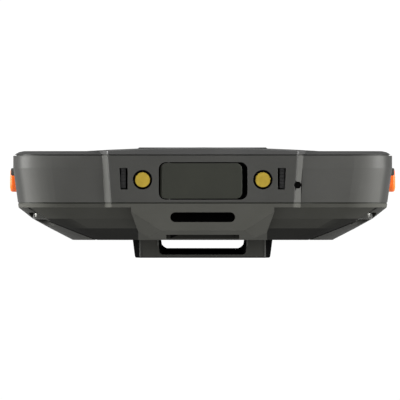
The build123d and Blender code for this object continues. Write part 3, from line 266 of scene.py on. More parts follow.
casing_grey = grained("grained_casing", (0.053, 0.053, 0.049), (0.060, 0.060, 0.056),
                      rough=0.48, specular=0.12, edge=0.15)
bezel_grey = grained("satin_bezel", (0.034, 0.034, 0.033), (0.040, 0.040, 0.039),
                     rough=0.42, specular=0.3, edge=0.15)
tub_grey = grained("grained_tub", (0.050, 0.050, 0.044), (0.057, 0.057, 0.051),
                   rough=0.60, specular=0.02, edge=0.15)
grip_rubber = grained("soft_grip", (0.018, 0.018, 0.016), (0.023, 0.023, 0.020),
                      rough=0.65, grain=3.0, depth=0.02, specular=0.10)
cover_rubber = grained("cover_skin", (0.014, 0.015, 0.011), (0.018, 0.019, 0.014),
                       rough=0.62, grain=5.0, depth=0.008, specular=0.2)
loop_black = grained("loop_nylon", (0.030, 0.030, 0.026), (0.036, 0.036, 0.032),
                     rough=0.5, grain=5.0, depth=0.010, specular=0.15, edge=0.2)
# Near-black for the seals, and for the sheets of painted shade in openings.
seal_and_shade_black = grained("seal_and_shade_skin", (0.003, 0.003, 0.003), (0.005, 0.005, 0.005),
                     rough=0.9, grain=4.0, depth=0.01, specular=0.0)
key_black = grained("key_plastic", (0.010, 0.010, 0.010), (0.014, 0.014, 0.014), rough=0.40)
block_black = grained("moulded_black", (0.006, 0.006, 0.006), (0.010, 0.010, 0.010),
                      rough=0.5, specular=0.4)
wrap_black = grained("battery_skin", (0.016, 0.016, 0.018), (0.022, 0.022, 0.024),
                     rough=0.45, grain=2.0)

# %% [markdown]
# The tub's slopes are painted darker than its upright faces, which is painted shade: the colour is
# multiplied by a ramp over the downward part of the face's normal, so a slope is painted darker the flatter
# it faces down. A second factor, taken from the place, leaves the strap wedge's face in the middle out of
# this, but not its turned corner facets. The notch behind the wedge is painted darker as well, which is
# painted shade in the recess. A limit in a pattern fades over a tenth of a millimetre, as a line in a tool
# does.

# %% Painted shade on the tub's slopes and notch


def shade_by(material, factor, stops, amount=None):
    """Multiplies the colour by a ramp; stops pairs a factor with a brightness."""
    tree = material.node_tree
    ramp = tree.nodes.new("ShaderNodeValToRGB")
    shade = tree.nodes.new("ShaderNodeMix")
    shade.data_type = "RGBA"
    shade.blend_type = "MULTIPLY"
    shade.inputs["Factor"].default_value = 1.0
    while len(ramp.color_ramp.elements) < len(stops):
        ramp.color_ramp.elements.new(0.5)
    for element, (position, brightness) in zip(ramp.color_ramp.elements, stops):
        element.position = position
        element.color = (brightness, brightness, brightness, 1)
    base = shader_of(material).inputs["Base Color"]
    tree.links.new(factor, ramp.inputs["Fac"])
    if amount:
        tree.links.new(amount, shade.inputs["Factor"])
    tree.links.new(base.links[0].from_socket, shade.inputs["A"])
    tree.links.new(ramp.outputs["Color"], shade.inputs["B"])
    tree.links.new(shade.outputs["Result"], base)


def part_of(material, vector, axis):
    parts = material.node_tree.nodes.new("ShaderNodeSeparateXYZ")
    material.node_tree.links.new(vector, parts.inputs["Vector"])
    return parts.outputs[axis]


def combine(material, operation, first, second=None):
    made = material.node_tree.nodes.new("ShaderNodeMath")
    made.operation = operation
    material.node_tree.links.new(first, made.inputs[0])
    if second:
        material.node_tree.links.new(second, made.inputs[1])
    return made.outputs["Value"]


fade = 0.1


def past(material, value, limit):
    """0 below the limit and 1 above it, with a short fade between."""
    return spread(material, value, 0.0, 1.0, limit, limit + fade)


facet_turn = 0.2      # faces that look further sideways than this belong to the corner facets
wedge_half_width = 13.2
wedge_end = -60.0
notch_half_width = 7.4
notch_start = -74.0
notch_end = -62.2
notch_painted_shade = [(0.0, 1.0), (1.0, 0.42)]
facing = tub_grey.node_tree.nodes.new("ShaderNodeTexCoord").outputs["Normal"]
flatness = spread(tub_grey, part_of(tub_grey, facing, "Z"), 1.0, 0.0, -1.0, 0.0)
turned = combine(tub_grey, "ABSOLUTE", part_of(tub_grey, facing, "X"))
on_facets = past(tub_grey, turned, facet_turn)
aside = combine(tub_grey, "ABSOLUTE", part_of(tub_grey, place(tub_grey), "X"))
along = part_of(tub_grey, place(tub_grey), "Y")
off_middle = past(tub_grey, aside, wedge_half_width)
off_wedge_face = combine(tub_grey, "MAXIMUM", off_middle, on_facets)
off_wedge = combine(tub_grey, "MAXIMUM", past(tub_grey, along, wedge_end), off_wedge_face)
# Painted shade: the slopes are painted darker the more they face down, with the wedge's face left out.
slope_painted_shade = [(0.35, 1.0), (0.62, 0.74), (0.81, 0.62), (0.87, 0.30), (0.94, 0.11), (0.98, 0.55)]
shade_by(tub_grey, flatness, slope_painted_shade, off_wedge)

# Painted shade in the notch behind the wedge.
in_width = spread(tub_grey, aside, 1.0, 0.0, notch_half_width, notch_half_width + fade)
after_start = past(tub_grey, along, notch_start)
in_length = combine(tub_grey, "SUBTRACT", after_start, past(tub_grey, along, notch_end))
shade_by(tub_grey, combine(tub_grey, "MINIMUM", in_width, in_length), notch_painted_shade)
# The two marks that this print calls grains are painted shade.
print("two grains on", tub_grey.name)

# %% [markdown]
# The front housing is coloured in two more ways. The boss on its end face is coloured a shade darker than
# the walls beside it. The long sides, and the bezel above them, are painted darker where their faces turn
# sideways, which is painted shade, and it fades out round the corners.

# %% Darker boss and painted shade on the sides
# The boss face is coloured darker than the walls beside it.
boss_front = -79.7
boss_shades = [(0.0, 1.0), (1.0, 0.68)]
forward = part_of(casing_grey, place(casing_grey), "Y")
on_boss = spread(casing_grey, forward, 1.0, 0.0, boss_front, boss_front + fade)
shade_by(casing_grey, on_boss, boss_shades)

# Painted shade on faces that turn sideways, from side_start outwards.
side_start = 30.0
side_fade = 1.0
side_painted_shade = [(0.75, 1.0), (0.85, 0.45), (1.0, 0.3)]
for material in (casing_grey, bezel_grey):
    outwards = material.node_tree.nodes.new("ShaderNodeTexCoord").outputs["Normal"]
    sideways = combine(material, "ABSOLUTE", part_of(material, outwards, "X"))
    off_axis = combine(material, "ABSOLUTE", part_of(material, place(material), "X"))
    far_out = spread(material, off_axis, 0.0, 1.0, side_start, side_start + side_fade)
    shade_by(material, sideways, side_painted_shade, far_out)
# Of the two marks that this print calls grains, the one on the sides is painted shade.
print("two grains on", casing_grey.name, "and", bezel_grey.name)

# %% [markdown]
# Bare metals show the marks of how they were made: plated contacts are lapped, so they carry hair-fine
# parallel lines, sheet steel is rolled, and a casting is blasted. The same noise does all of it, stretched
# along one axis for the lines and left even for the blasting, and only the roughness and bump follow it.

# %% Metals
stain = 0.82          # the darker patches have this share of the metal's brightness
stain_cycles = 0.6
metal_swing = 0.08    # the roughness goes up and down by this


def metal(name, colour, rough, lines=(1, 1, 1), depth=0.003, cycles=4.0):
    material = new_finish(name)
    shader = shader_of(material)
    links = material.node_tree.links
    fine = noise(material, place(material, lines), cycles, 3.0, 0.6)
    broad = noise(material, place(material), stain_cycles, 2.0)
    shader.inputs["Metallic"].default_value = 1.0
    darker = [value * stain for value in colour]
    links.new(blend_colours(material, spread(material, broad, 0.0, 1.0), darker, colour),
              shader.inputs["Base Color"])
    links.new(spread(material, fine, rough - metal_swing, rough + metal_swing), shader.inputs["Roughness"])
    links.new(bump(material, fine, depth), shader.inputs["Normal"])
    return material


contact_gold = metal("lapped_gold", (0.42, 0.30, 0.045), 0.38, (0.2, 1, 3))
screw_steel = metal("plated_steel", (0.62, 0.61, 0.59), 0.28, depth=0.002)
black_steel = metal("blackened_steel", (0.060, 0.060, 0.056), 0.24, depth=0.002)
shield_steel = metal("rolled_steel", (0.55, 0.55, 0.53), 0.36, (0.15, 3, 1))
chassis_metal = metal("blasted_casting", (0.50, 0.51, 0.52), 0.52, depth=0.012, cycles=3.0)
print("metals:", contact_gold.name, screw_steel.name, black_steel.name, shield_steel.name,
      chassis_metal.name)

# %% [markdown]
# The triggers are bright orange so that a gloved thumb finds them. They are moulded in a satin plastic
# whose surface scatters a little of the light under its skin, which keeps the colour strong in shade.

# %% Orange plastic
trigger_orange = grained("trigger_plastic", (0.66, 0.095, 0.004), (0.74, 0.125, 0.006),
                         rough=0.45, grain=5.0, depth=0.006, specular=0.3)
orange_shader = shader_of(trigger_orange)
orange_shader.inputs["Subsurface Weight"].default_value = 0.12
orange_shader.inputs["Subsurface Radius"].default_value = (1.0, 0.35, 0.08)
orange_shader.inputs["Subsurface Scale"].default_value = 0.6 * MM
print("orange:", trigger_orange.name)

# %% [markdown]
# Glass in front of black print looks black with a sharp reflection on top. That is two layers, so the
# base is a dark, slightly uneven print and the coat carries the polish. Light finger marks are a broad
# noise in the roughness of the base, because a perfect mirror reads as computer-made.

# %% Glass and lenses
smear_cycles = 0.05
smear_rough = 0.02


def polished(name, dark, light, rough):
    material = new_finish(name)
    shader = shader_of(material)
    links = material.node_tree.links
    smear = noise(material, place(material), smear_cycles, 4.0, 0.6)
    links.new(blend_colours(material, spread(material, smear, 0.0, 1.0), dark, light),
              shader.inputs["Base Color"])
    links.new(spread(material, smear, rough, rough + smear_rough), shader.inputs["Roughness"])
    shader.inputs["Coat Weight"].default_value = 1.0
    shader.inputs["Coat Roughness"].default_value = 0.03
    return material


black_glass = polished("printed_glass", (0.002, 0.002, 0.003), (0.003, 0.003, 0.004),
                       rough=0.10)
display_black = polished("dark_display", (0.006, 0.007, 0.010), (0.009, 0.010, 0.014),
                         rough=0.18)
scan_red = polished("red_window", (0.030, 0.001, 0.002), (0.045, 0.002, 0.003), rough=0.08)
lens_clear = polished("milky_lens", (0.55, 0.55, 0.50), (0.66, 0.66, 0.60), rough=0.15)
print("polished:", black_glass.name, display_black.name, scan_red.name, lens_clear.name)

# %% [markdown]
# A circuit board's solder mask is green lacquer over copper tracks, and the tracks show as slightly
# raised, lighter lines. A Brick texture with long thin bricks gives straight tracks without drawing them.

# %% Circuit board and woven mesh
board_green = new_finish("solder_mask")
board_shader = shader_of(board_green)
tracks = board_green.node_tree.nodes.new("ShaderNodeTexBrick")
tracks.inputs["Scale"].default_value = 1.0
tracks.inputs["Brick Width"].default_value = 7.0
tracks.inputs["Row Height"].default_value = 0.55
tracks.inputs["Mortar Size"].default_value = 0.11
tracks.inputs["Color1"].default_value = (0.012, 0.085, 0.030, 1)
tracks.inputs["Color2"].default_value = (0.010, 0.070, 0.026, 1)
tracks.inputs["Mortar"].default_value = (0.030, 0.150, 0.060, 1)
board_links = board_green.node_tree.links
board_links.new(place(board_green), tracks.inputs["Vector"])
board_links.new(tracks.outputs["Color"], board_shader.inputs["Base Color"])
board_links.new(bump(board_green, tracks.outputs["Fac"], 0.02), board_shader.inputs["Normal"])
board_shader.inputs["Roughness"].default_value = 0.35


def woven(name, colour, pitch):
    """Fine wire mesh: a checker of raised wires over dark gaps, pitch in millimetres."""
    material = new_finish(name)
    shader = shader_of(material)
    links = material.node_tree.links
    weave = material.node_tree.nodes.new("ShaderNodeTexChecker")
    weave.inputs["Scale"].default_value = 1.0 / pitch
    links.new(place(material), weave.inputs["Vector"])
    links.new(blend_colours(material, weave.outputs["Fac"], (0.004, 0.004, 0.004), colour),
              shader.inputs["Base Color"])
    links.new(bump(material, weave.outputs["Fac"], 0.05), shader.inputs["Normal"])
    shader.inputs["Metallic"].default_value = 0.7
    shader.inputs["Roughness"].default_value = 0.45
    return material


mesh_steel = woven("woven_mesh", (0.10, 0.10, 0.10), pitch=0.25)
antenna_brown = grained("ferrite_sheet", (0.05, 0.028, 0.014), (0.07, 0.036, 0.02),
                        rough=0.5)
print("board and mesh:", board_green.name, mesh_steel.name, antenna_brown.name)

# %% [markdown]
# Every part that stays as it is gets its finish here, by the material slot that the record gives it. Only
# what is seen from outside gets a new mesh further down, and the inside keeps the exact one.

# %% Finishes for the parts that stay
finish_of_slot = {
    "casing_grey": casing_grey, "bezel_grey": bezel_grey, "black_glass": black_glass,
    "display_black": display_black, "chassis_metal": chassis_metal, "board_green": board_green,
    "screw_steel": screw_steel, "shield_steel": shield_steel, "insulator_black": block_black,
    "cover_rubber": cover_rubber, "key_black": key_black, "battery_wrap": wrap_black,
    "contact_gold": contact_gold, "antenna_brown": antenna_brown, "scan_red": scan_red,
    "mesh_steel": mesh_steel, "lens_clear": lens_clear, "loop_black": loop_black,
    "seal_rubber": seal_and_shade_black, "trigger_orange": trigger_orange, "grip_rubber": grip_rubber,
}
slot_of_node = {entry["node"]: entry["material_slot"] for entry in frame["record"]["subparts"]}
for name, part in nodes.items():
    part.data.materials.clear()
    part.data.materials.append(finish_of_slot[slot_of_node[name]])
nodes["rear_housing"].data.materials[0] = tub_grey
nodes["port_cover_pin"].data.materials[0] = black_steel
print(len(slot_of_node), "parts finished")

# %% [markdown]
# A moulding never leaves its tool with knife edges: every outer edge has a radius of a tenth or two, and
# that is where light catches. On the big housings the finish itself rounds the edges, because their many
# small openings would tangle a real bevel. The small mouldings get real ones: the exact shape is copied,
# its loose triangles are merged into whole faces, and what is still sharp is bevelled. Weighted normals
# keep the flats flat, so that only the radius shades. The rubber brow over the imager comes first. It is
# pressed into its seat, so its top swells out a little, and is moved up by that much.

# %% Soft-edged copies
merge_distance = 0.0005 * MM


def copy_of(node_name, new_name):
    """A part's own mesh on a new object, its triangles merged where they meet."""
    piece = bpy.data.objects.new(new_name, nodes[node_name].data.copy())
    bpy.context.scene.collection.objects.link(piece)
    open_mesh(piece, "VERT")
    bpy.ops.mesh.select_all(action="SELECT")
    bpy.ops.mesh.remove_doubles(threshold=merge_distance)
    close_mesh()
    return piece


def weigh_normals(piece):
    take(piece)
    piece.modifiers.new("flat_flats", "WEIGHTED_NORMAL").keep_sharp = True
    bpy.ops.object.modifier_apply(modifier="flat_flats")


def soft_copy(node_name, new_name, material, width, body="casing", segments=2, angle=30):
    """A part's own shape with its edges rounded by width millimetres."""
    piece = copy_of(node_name, new_name)
    open_mesh(piece)
    bpy.ops.mesh.select_all(action="SELECT")
    bpy.ops.mesh.tris_convert_to_quads(face_threshold=math.radians(1), shape_threshold=math.radians(180))
    close_mesh()
    bevel_all(piece, width, segments, angle)
    settle(piece, material, body, (node_name,))
    weigh_normals(piece)
    return piece


brow_width = 0.10
brow_swell = 0.03
brow_bar = soft_copy("brow_bumper", "brow_bar", seal_and_shade_black, brow_width)
brow_top = box_mm("brow_bumper")[1].z
open_mesh(brow_bar)
pick_faces(brow_bar, lambda middle, normal: normal.z > 0.9 and middle.z > brow_top - brow_width)
bpy.ops.transform.translate(value=(0, 0, brow_swell * MM))
close_mesh()
print(brow_bar.name, len(brow_bar.data.polygons), "faces")

# %% [markdown]
# The soft grips, the port cover, the battery door and the keys are separate mouldings. What a hand or a
# thumb rubs against has a larger radius than what only has to look neat, so each gets its own width.

# %% Grips, cover, door and keys
for side in ("left", "right"):
    soft_copy(f"side_grip_{side}", f"grip_strip_{side}", grip_rubber, 0.08)
    soft_copy(f"door_latch_{side}", f"thumb_latch_{side}", key_black, 0.08, body=f"door_latch_{side}")
    soft_copy(f"contact_seal_{side}", f"contact_ring_{side}", seal_and_shade_black, 0.06)
    soft_copy(f"charging_contact_{side}", f"contact_pad_{side}", contact_gold, 0.12, segments=3)
    soft_copy(f"trigger_{side}", f"trigger_cap_{side}", trigger_orange, 0.22, body=f"trigger_{side}",
              segments=3)
soft_copy("port_cover", "port_flap", cover_rubber, 0.10, body="port_cover")
soft_copy("battery_door", "door_panel", tub_grey, 0.12, body="battery_door")
soft_copy("power_key", "power_button", key_black, 0.10, body="power_key")
soft_copy("volume_rocker", "volume_button", key_black, 0.10, body="volume_rocker")

# %% [markdown]
# The strap's tunnel, the port's recess, the microphone's hole and the cradle slots get a thin near-black
# skin, which is painted shade: it makes them read as black openings. The strap loop gets the same skin on
# its outer flanks, which are black, and on the walls of its opening, where it is painted shade. A lining
# follows the wall that it sits on, so the wall's own faces are copied, all others are deleted, and what is
# left is given a thickness. Each opening's walls are picked by a box round it. The rubber bead along the
# casing's seam is made in the same way, from a narrow strip of the wall.

# %% Linings


def lining(node_name, new_name, test, thickness=0.04, material=seal_and_shade_black):
    """A skin on those faces of a part that pass the test."""
    piece = copy_of(node_name, new_name)
    open_mesh(piece)
    pick_faces(piece, lambda middle, normal: not test(middle, normal))
    bpy.ops.mesh.delete(type="FACE")
    close_mesh()
    skin = piece.modifiers.new("skin", "SOLIDIFY")
    skin.thickness = thickness * MM
    skin.offset = 1
    bpy.ops.object.modifier_apply(modifier=skin.name)
    settle(piece, material, angle=30)
    print(new_name, len(piece.data.polygons), "faces")
    return piece


def inside(middle, low, high):
    return all(a < value < b for a, value, b in zip(low, middle, high))


def line_box(node_name, new_name, low, high, mirrored=False):
    """Lines those faces of a part that lie in a box, and in its mirror image across the part."""
    def test(middle, normal):
        x = abs(middle.x) if mirrored else middle.x
        return inside((x, middle.y, middle.z), low, high)

    return lining(node_name, new_name, test)


end_y = cad_low[1] / MM
face_y = end_y + 0.05
cover_low, cover_high = box_mm("port_cover")
mic_low = (18.7, face_y, 14.5)
mic_high = (20.3, end_y + 5, 16.1)
# The four skins below are painted shade in their openings.
line_box("rear_housing", "strap_tunnel_shade_lining", (-6.8, face_y, 7.5), (6.8, end_y + 9.1, 9.9))
line_box("front_housing", "port_recess_shade_lining", (cover_low.x - 0.3, face_y, cover_low.z - 0.3),
         (cover_high.x + 1.3, end_y + 3.65, cover_high.z + 0.3))
line_box("front_housing", "microphone_shade_lining", mic_low, mic_high)
line_box("front_housing", "cradle_slot_shade_lining", (15.3, face_y, 14.3), (17.2, end_y + 2.65, 18.9),
         mirrored=True)

back_z = box_mm("rear_housing")[0].z
# On the loop the skin covers its black outer flanks, and the walls of the opening as painted shade.
lining("strap_loop", "strap_loop_flank_and_shade_lining",
       lambda middle, normal: abs(normal.y) < 0.9 and normal.z > -0.9 and middle.z < back_z - 0.01)

seam_z = 11.5
seam_height = 0.25
lining("front_housing", "seam_bead",
       lambda middle, normal: seam_z < middle.z < seam_z + seam_height and abs(normal.z) < 0.3,
       thickness=0.25, material=cover_rubber)

# %% [markdown]
# Several parts hold more than one solid, such as the six casing screws. A new piece has to stand where each
# of them is, so the part's mesh is walked from point to neighbouring point, and every connected group gives
# one box. Pieces that are made once for each solid are joined at the end into one.

# %% Where the solids are


def solid_boxes(name):
    """The lowest and highest corner of each separate solid in a part, in millimetres."""
    mesh = bmesh.new()
    mesh.from_mesh(nodes[name].data)
    bmesh.ops.remove_doubles(mesh, verts=mesh.verts, dist=merge_distance)
    waiting = set(mesh.verts)
    boxes = []
    while waiting:
        reach = [waiting.pop()]
        found = []
        while reach:
            vert = reach.pop()
            found.append(vert.co / MM)
            for edge in vert.link_edges:
                other = edge.other_vert(vert)
                if other in waiting:
                    waiting.discard(other)
                    reach.append(other)
        low = [min(point[axis] for point in found) for axis in range(3)]
        high = [max(point[axis] for point in found) for axis in range(3)]
        boxes.append((low, high))
    mesh.free()
    return [(Vector(low), Vector(high)) for low, high in sorted(boxes)]


def join(pieces, name):
    take(pieces[0])
    for piece in pieces:
        piece.select_set(True)
    bpy.ops.object.join()
    pieces[0].name = name
    return pieces[0]


def copies_at(piece, moves, name):
    """The piece moved by the first move, and a copy with its own mesh for each of the others, joined."""
    made = []
    for move in moves:
        take(piece)
        bpy.ops.object.duplicate(linked=False)
        bpy.ops.transform.translate(value=move * MM)
        made.append(bpy.context.object)
    bpy.data.objects.remove(piece)
    return join(made, name)


print("casing screws:", len(solid_boxes("casing_screws")), "loop screws:", len(solid_boxes("loop_screws")))

# %% [markdown]
# The casing screws are small cheese heads with a six-lobed socket, which is what service tools for such
# terminals fit. One is made as on a lathe and a press: a disc for the head, its free face inset, the inset
# ring pinched at six places, the socket pressed in, the shank drawn out of the other side and pointed, and
# the rim rounded last. It stands head down at the origin, and is then copied to each hole.

# %% Screws
lobes = 6
lobe_ring = 0.38       # width of the ring round the socket, in head radii
valley_share = 0.76    # the pinched points move in to this share of their distance
socket_depth = 0.6     # in head heights
rim_round = 0.3        # in head heights
screw_point = 0.5      # length of the point in millimetres
point_share = 0.5      # how wide its tip is, in shank widths


def screw(head_radius, head_height, shank_radius, length):
    """One screw with its head's outer face at the origin, facing down."""
    bpy.ops.object.select_all(action="DESELECT")
    bpy.ops.mesh.primitive_cylinder_add(vertices=48, radius=head_radius * MM, depth=head_height * MM,
                                        location=(0, 0, head_height / 2 * MM))
    piece = bpy.context.object
    bpy.ops.object.transform_apply(location=True)

    def from_axis(point):
        return math.hypot(point.x, point.y)

    def in_valley(point):
        turn = math.atan2(point.y, point.x)
        on_ring = point.z < 0.01 and from_axis(point) < 0.8 * head_radius
        return on_ring and math.cos(lobes * turn) < -0.3

    def on_rim(point):
        return point.z < 0.01 and from_axis(point) > 0.98 * head_radius

    open_mesh(piece)
    pick_faces(piece, lambda middle, normal: normal.z < -0.9)
    bpy.ops.mesh.inset(thickness=lobe_ring * head_radius * MM)
    bpy.ops.mesh.select_mode(type="VERT")
    pick_points(piece, in_valley)
    bpy.ops.transform.resize(value=(valley_share, valley_share, 1), center_override=(0, 0, 0))
    bpy.ops.mesh.select_mode(type="FACE")
    pick_faces(piece, lambda middle, normal: normal.z < -0.9 and from_axis(middle) < 0.05)
    press = (0, 0, socket_depth * head_height * MM)
    bpy.ops.mesh.extrude_region_move(TRANSFORM_OT_translate={"value": press})
    pick_faces(piece, lambda middle, normal: normal.z > 0.9 and middle.z > 0.9 * head_height)
    bpy.ops.mesh.inset(thickness=(head_radius - shank_radius) * MM)
    straight = length - head_height - screw_point
    bpy.ops.mesh.extrude_region_move(TRANSFORM_OT_translate={"value": (0, 0, straight * MM)})
    bpy.ops.mesh.extrude_region_move(TRANSFORM_OT_translate={"value": (0, 0, screw_point * MM)})
    bpy.ops.transform.resize(value=(point_share, point_share, 1))
    bpy.ops.mesh.select_mode(type="EDGE")
    pick_edges(piece, lambda a, b: on_rim(a) and on_rim(b))
    bpy.ops.mesh.bevel(offset=rim_round * head_height * MM, segments=4, affect="EDGES")
    close_mesh()
    return piece


for part, new_name, head_height, shank_radius in (("casing_screws", "case_screws", 1.2, 1.0),
                                                  ("loop_screws", "bridge_screws", 1.0, 0.8)):
    boxes = solid_boxes(part)
    low, high = boxes[0]
    pattern = screw((high.x - low.x) / 2, head_height, shank_radius, high.z - low.z)
    feet = [Vector(((low.x + high.x) / 2, (low.y + high.y) / 2, low.z)) for low, high in boxes]
    settle(copies_at(pattern, feet, new_name), black_steel, stands_for=(part,))
    print(new_name, len(feet), "screws")

# %% [markdown]
# Ribs across a trigger's face stop a gloved finger from slipping. One is a block with all its edges
# rounded, half sunk into the face, and the row is made of its copies. The ladder of rungs in a cradle slot
# is made in the same way: there it guides the cradle's spring and keeps dirt out.

# %% Rows of ribs


def bar_row(name, first, step, count, size, radius, material, body="casing"):
    """Rounded bars of one size in millimetres, from the first middle on by equal steps."""
    bpy.ops.object.select_all(action="DESELECT")
    bpy.ops.mesh.primitive_cube_add(size=1, location=(0, 0, 0))
    bar = bpy.context.object
    bar.scale = size * MM
    bpy.ops.object.transform_apply(location=True, rotation=True, scale=True)
    bevel_all(bar, radius, 3)
    row = copies_at(bar, [first + step * index for index in range(count)], name)
    return settle(row, material, body)


sides = (("left", -1), ("right", 1))
rib_size = Vector((0.24, 0.9, 2.6))
rib_step = Vector((0, 2.4, 0))
rib_count = 7
rung_size = Vector((1.05, 0.8, 0.68))
rung_step = Vector((0, 0, 0.72))
rung_count = 6
for side, sign in sides:
    low, high = box_mm(f"trigger_{side}")
    middle = (low + high) / 2
    face = Vector((low.x if side == "left" else high.x, middle.y, middle.z))
    first_rib = face - rib_step * (rib_count - 1) / 2
    first_rung = Vector((16.3 * sign, end_y + 1.3, 14.95))
    bar_row(f"trigger_ribs_{side}", first_rib, rib_step, rib_count, rib_size, 0.11, trigger_orange,
            f"trigger_{side}")
    bar_row(f"slot_ladder_{side}", first_rung, rung_step, rung_count, rung_size, 0.05, block_black)
print(rib_count, "ribs on each trigger,", rung_count, "rungs in each slot")

# %% [markdown]
# The microphone sits behind its hole under a disc of acoustic mesh that keeps water out. The disc is a short
# cylinder turned on its side, its front face inset and pushed in a little, so that a rim holds it. It is
# made near-black, which is painted shade in the hole.

# %% Microphone mesh
mic_radius = 0.7
mic_rim = 0.12
hole_middle = (Vector(mic_low) + Vector(mic_high)) / 2
mic_place = Vector((hole_middle.x, end_y + 1.9, hole_middle.z))
bpy.ops.object.select_all(action="DESELECT")
bpy.ops.mesh.primitive_cylinder_add(vertices=32, radius=mic_radius * MM, depth=0.5 * MM,
                                    location=mic_place * MM, rotation=(math.radians(90), 0, 0))
mic_mesh = bpy.context.object
mic_mesh.name = "microphone_mesh"
bpy.ops.object.transform_apply(location=True, rotation=True)
open_mesh(mic_mesh)
pick_faces(mic_mesh, lambda middle, normal: normal.y < -0.9)
bpy.ops.mesh.inset(thickness=mic_rim * MM)
bpy.ops.transform.translate(value=(0, mic_rim * MM, 0))
close_mesh()
# The disc's near-black is painted shade in the hole.
settle(mic_mesh, seal_and_shade_black)
print("microphone mesh at", [round(value, 1) for value in mic_place])

# %% [markdown]
# Two guards are moulded on. A small rubber brow stands before each trigger, so that the trigger doesn't
# catch when the terminal slides into a holster. And the strap loop's legs carry raised beads along their
# edges, which keep the strap's ring in its place. All start as a block whose far face is drawn in, so that
# the sides slope. A black plate at the back of the strap tunnel, made in the same way, is painted shade in
# the tunnel's depth.

# %% Guards


def block_between(name, low, high):
    """A plain block from its lowest to its highest corner, to be shaped further."""
    bpy.ops.object.select_all(action="DESELECT")
    bpy.ops.mesh.primitive_cube_add(size=1, location=(low + high) / 2 * MM)
    block = bpy.context.object
    block.name = name
    block.scale = (high - low) * MM
    bpy.ops.object.transform_apply(location=True, rotation=True, scale=True)
    return block


def tapered_block(name, low, high, axis, shrink, radius, material):
    """A block that narrows towards one face; axis is such as (2, -1) for the one that faces down."""
    block = block_between(name, low, high)
    along_axis, towards = axis
    open_mesh(block)
    pick_faces(block, lambda middle, normal: normal[along_axis] * towards > 0.9)
    bpy.ops.transform.resize(value=shrink)
    close_mesh()
    bevel_all(block, radius, 3)
    return settle(block, material)


loop_low, loop_high = box_mm("strap_loop")
guard_x = (38.3, 40.25)
guard_y = (-3.0, -0.4)      # before the trigger's end
guard_z = (-1.5, 0.3)       # round the trigger's top
bead_places = (("outer", 13.0, 13.36, loop_low.z + 0.12),   # name, from, to, and foot
               ("inner", 9.24, 9.62, 2.6))
for side, sign in sides:
    trigger_low, trigger_high = box_mm(f"trigger_{side}")
    left_x, right_x = sorted(value * sign for value in guard_x)
    low = Vector((left_x, trigger_low.y + guard_y[0], trigger_high.z + guard_z[0]))
    high = Vector((right_x, trigger_low.y + guard_y[1], trigger_high.z + guard_z[1]))
    tapered_block(f"trigger_brow_{side}", low, high, (0, sign), (1, 0.5, 0.85), 0.25, grip_rubber)
    for bead, near, far, foot in bead_places:
        left_x, right_x = sorted((near * sign, far * sign))
        low = Vector((left_x, loop_low.y - 0.12, foot))
        high = Vector((right_x, loop_low.y + 0.3, back_z))
        tapered_block(f"loop_bead_{bead}_{side}", low, high, (2, -1), (0.9, 1, 1), 0.1, casing_grey)
# The tunnel's back plate is near-black as painted shade.
plate_low = Vector((-6.5, end_y + 8.8, 7.72))
plate_high = Vector((6.5, end_y + 8.98, 9.75))
tapered_block("tunnel_back_shade_plate", plate_low, plate_high, (1, -1), (0.98, 1, 0.98), 0.05, seal_and_shade_black)
print("two brows and", 2 * len(bead_places), "beads")

# %% [markdown]
# The strap loop's opening has rounded lower corners, which keep the strap from cutting in. Each one is a
# block set into the corner, whose free edge is bevelled inwards until only a hollow fillet is left. They are
# near-black like the opening's walls, which is painted shade.

# %% Corner fillets
opening_half_width = 8.95
opening_floor = 1.95
fillet_radius = 1.55
fillet_rest = 0.05     # what the bevel leaves of the block at the ends of the hollow
hollow = 0.12          # a bevel's profile is a hollow below 0.25, flat at it and round above it


def corner_fillet(name, low, high, sign, radius, material):
    """A block in the corner on the sign side, hollowed out along its upper edge towards the middle."""
    block = block_between(name, low, high)
    inner_x = min(abs(low.x), abs(high.x)) * sign

    def on_edge(point):
        return abs(point.x - inner_x) < 0.01 and point.z > high.z - 0.01

    open_mesh(block, "EDGE")
    pick_edges(block, lambda a, b: on_edge(a) and on_edge(b))
    bpy.ops.mesh.bevel(offset=radius * MM, segments=8, profile=hollow, affect="EDGES")
    close_mesh()
    return settle(block, material)


fillet_side = fillet_radius + fillet_rest
for side, sign in sides:
    left_x, right_x = sorted((opening_half_width * sign, (opening_half_width - fillet_side) * sign))
    low = Vector((left_x, loop_high.y - 1.4, opening_floor))
    high = Vector((right_x, loop_high.y - 0.1, opening_floor + fillet_side))
    # Near-black fillets: painted shade in the opening's corners.
    corner_fillet(f"loop_fillet_{side}", low, high, sign, fillet_radius, seal_and_shade_black)
print("fillets of", fillet_radius, "mm")

# %% [markdown]
# Thumb ridges on the two battery latches show which way they slide. The cameras get a turned metal ring
# with a slightly domed glass in it: each is a short cylinder whose outer face is inset, the ring's middle
# is pushed in, and the glass's middle is drawn out a little.

# %% Ridges and lens rings
disc_edge = 0.02


def disc(name, middle, radius, depth, outward, rim, step, material):
    """A flat cylinder whose outer face, up (1) or down (-1), is inset by rim and moved by step."""
    bpy.ops.object.select_all(action="DESELECT")
    bpy.ops.mesh.primitive_cylinder_add(vertices=64, radius=radius * MM, depth=depth * MM,
                                        location=middle * MM)
    piece = bpy.context.object
    piece.name = name
    bpy.ops.object.transform_apply(location=True)
    bevel_all(piece, disc_edge, 2, 60)
    open_mesh(piece)
    pick_faces(piece, lambda middle, normal: normal.z * outward > 0.99)
    bpy.ops.mesh.inset(thickness=rim * MM)
    bpy.ops.transform.translate(value=(0, 0, step * outward * MM))
    close_mesh()
    return settle(piece, material)


lens_offset = 0.02     # the discs' middles lie this far outside the face
ring_depth = 0.12
ring_rim = 0.2         # in ring radii
ring_sink = -0.06
glass_depth = 0.10
glass_rim = 0.3        # in ring radii
glass_dome = 0.02
glass_share = 0.74     # in ring radii


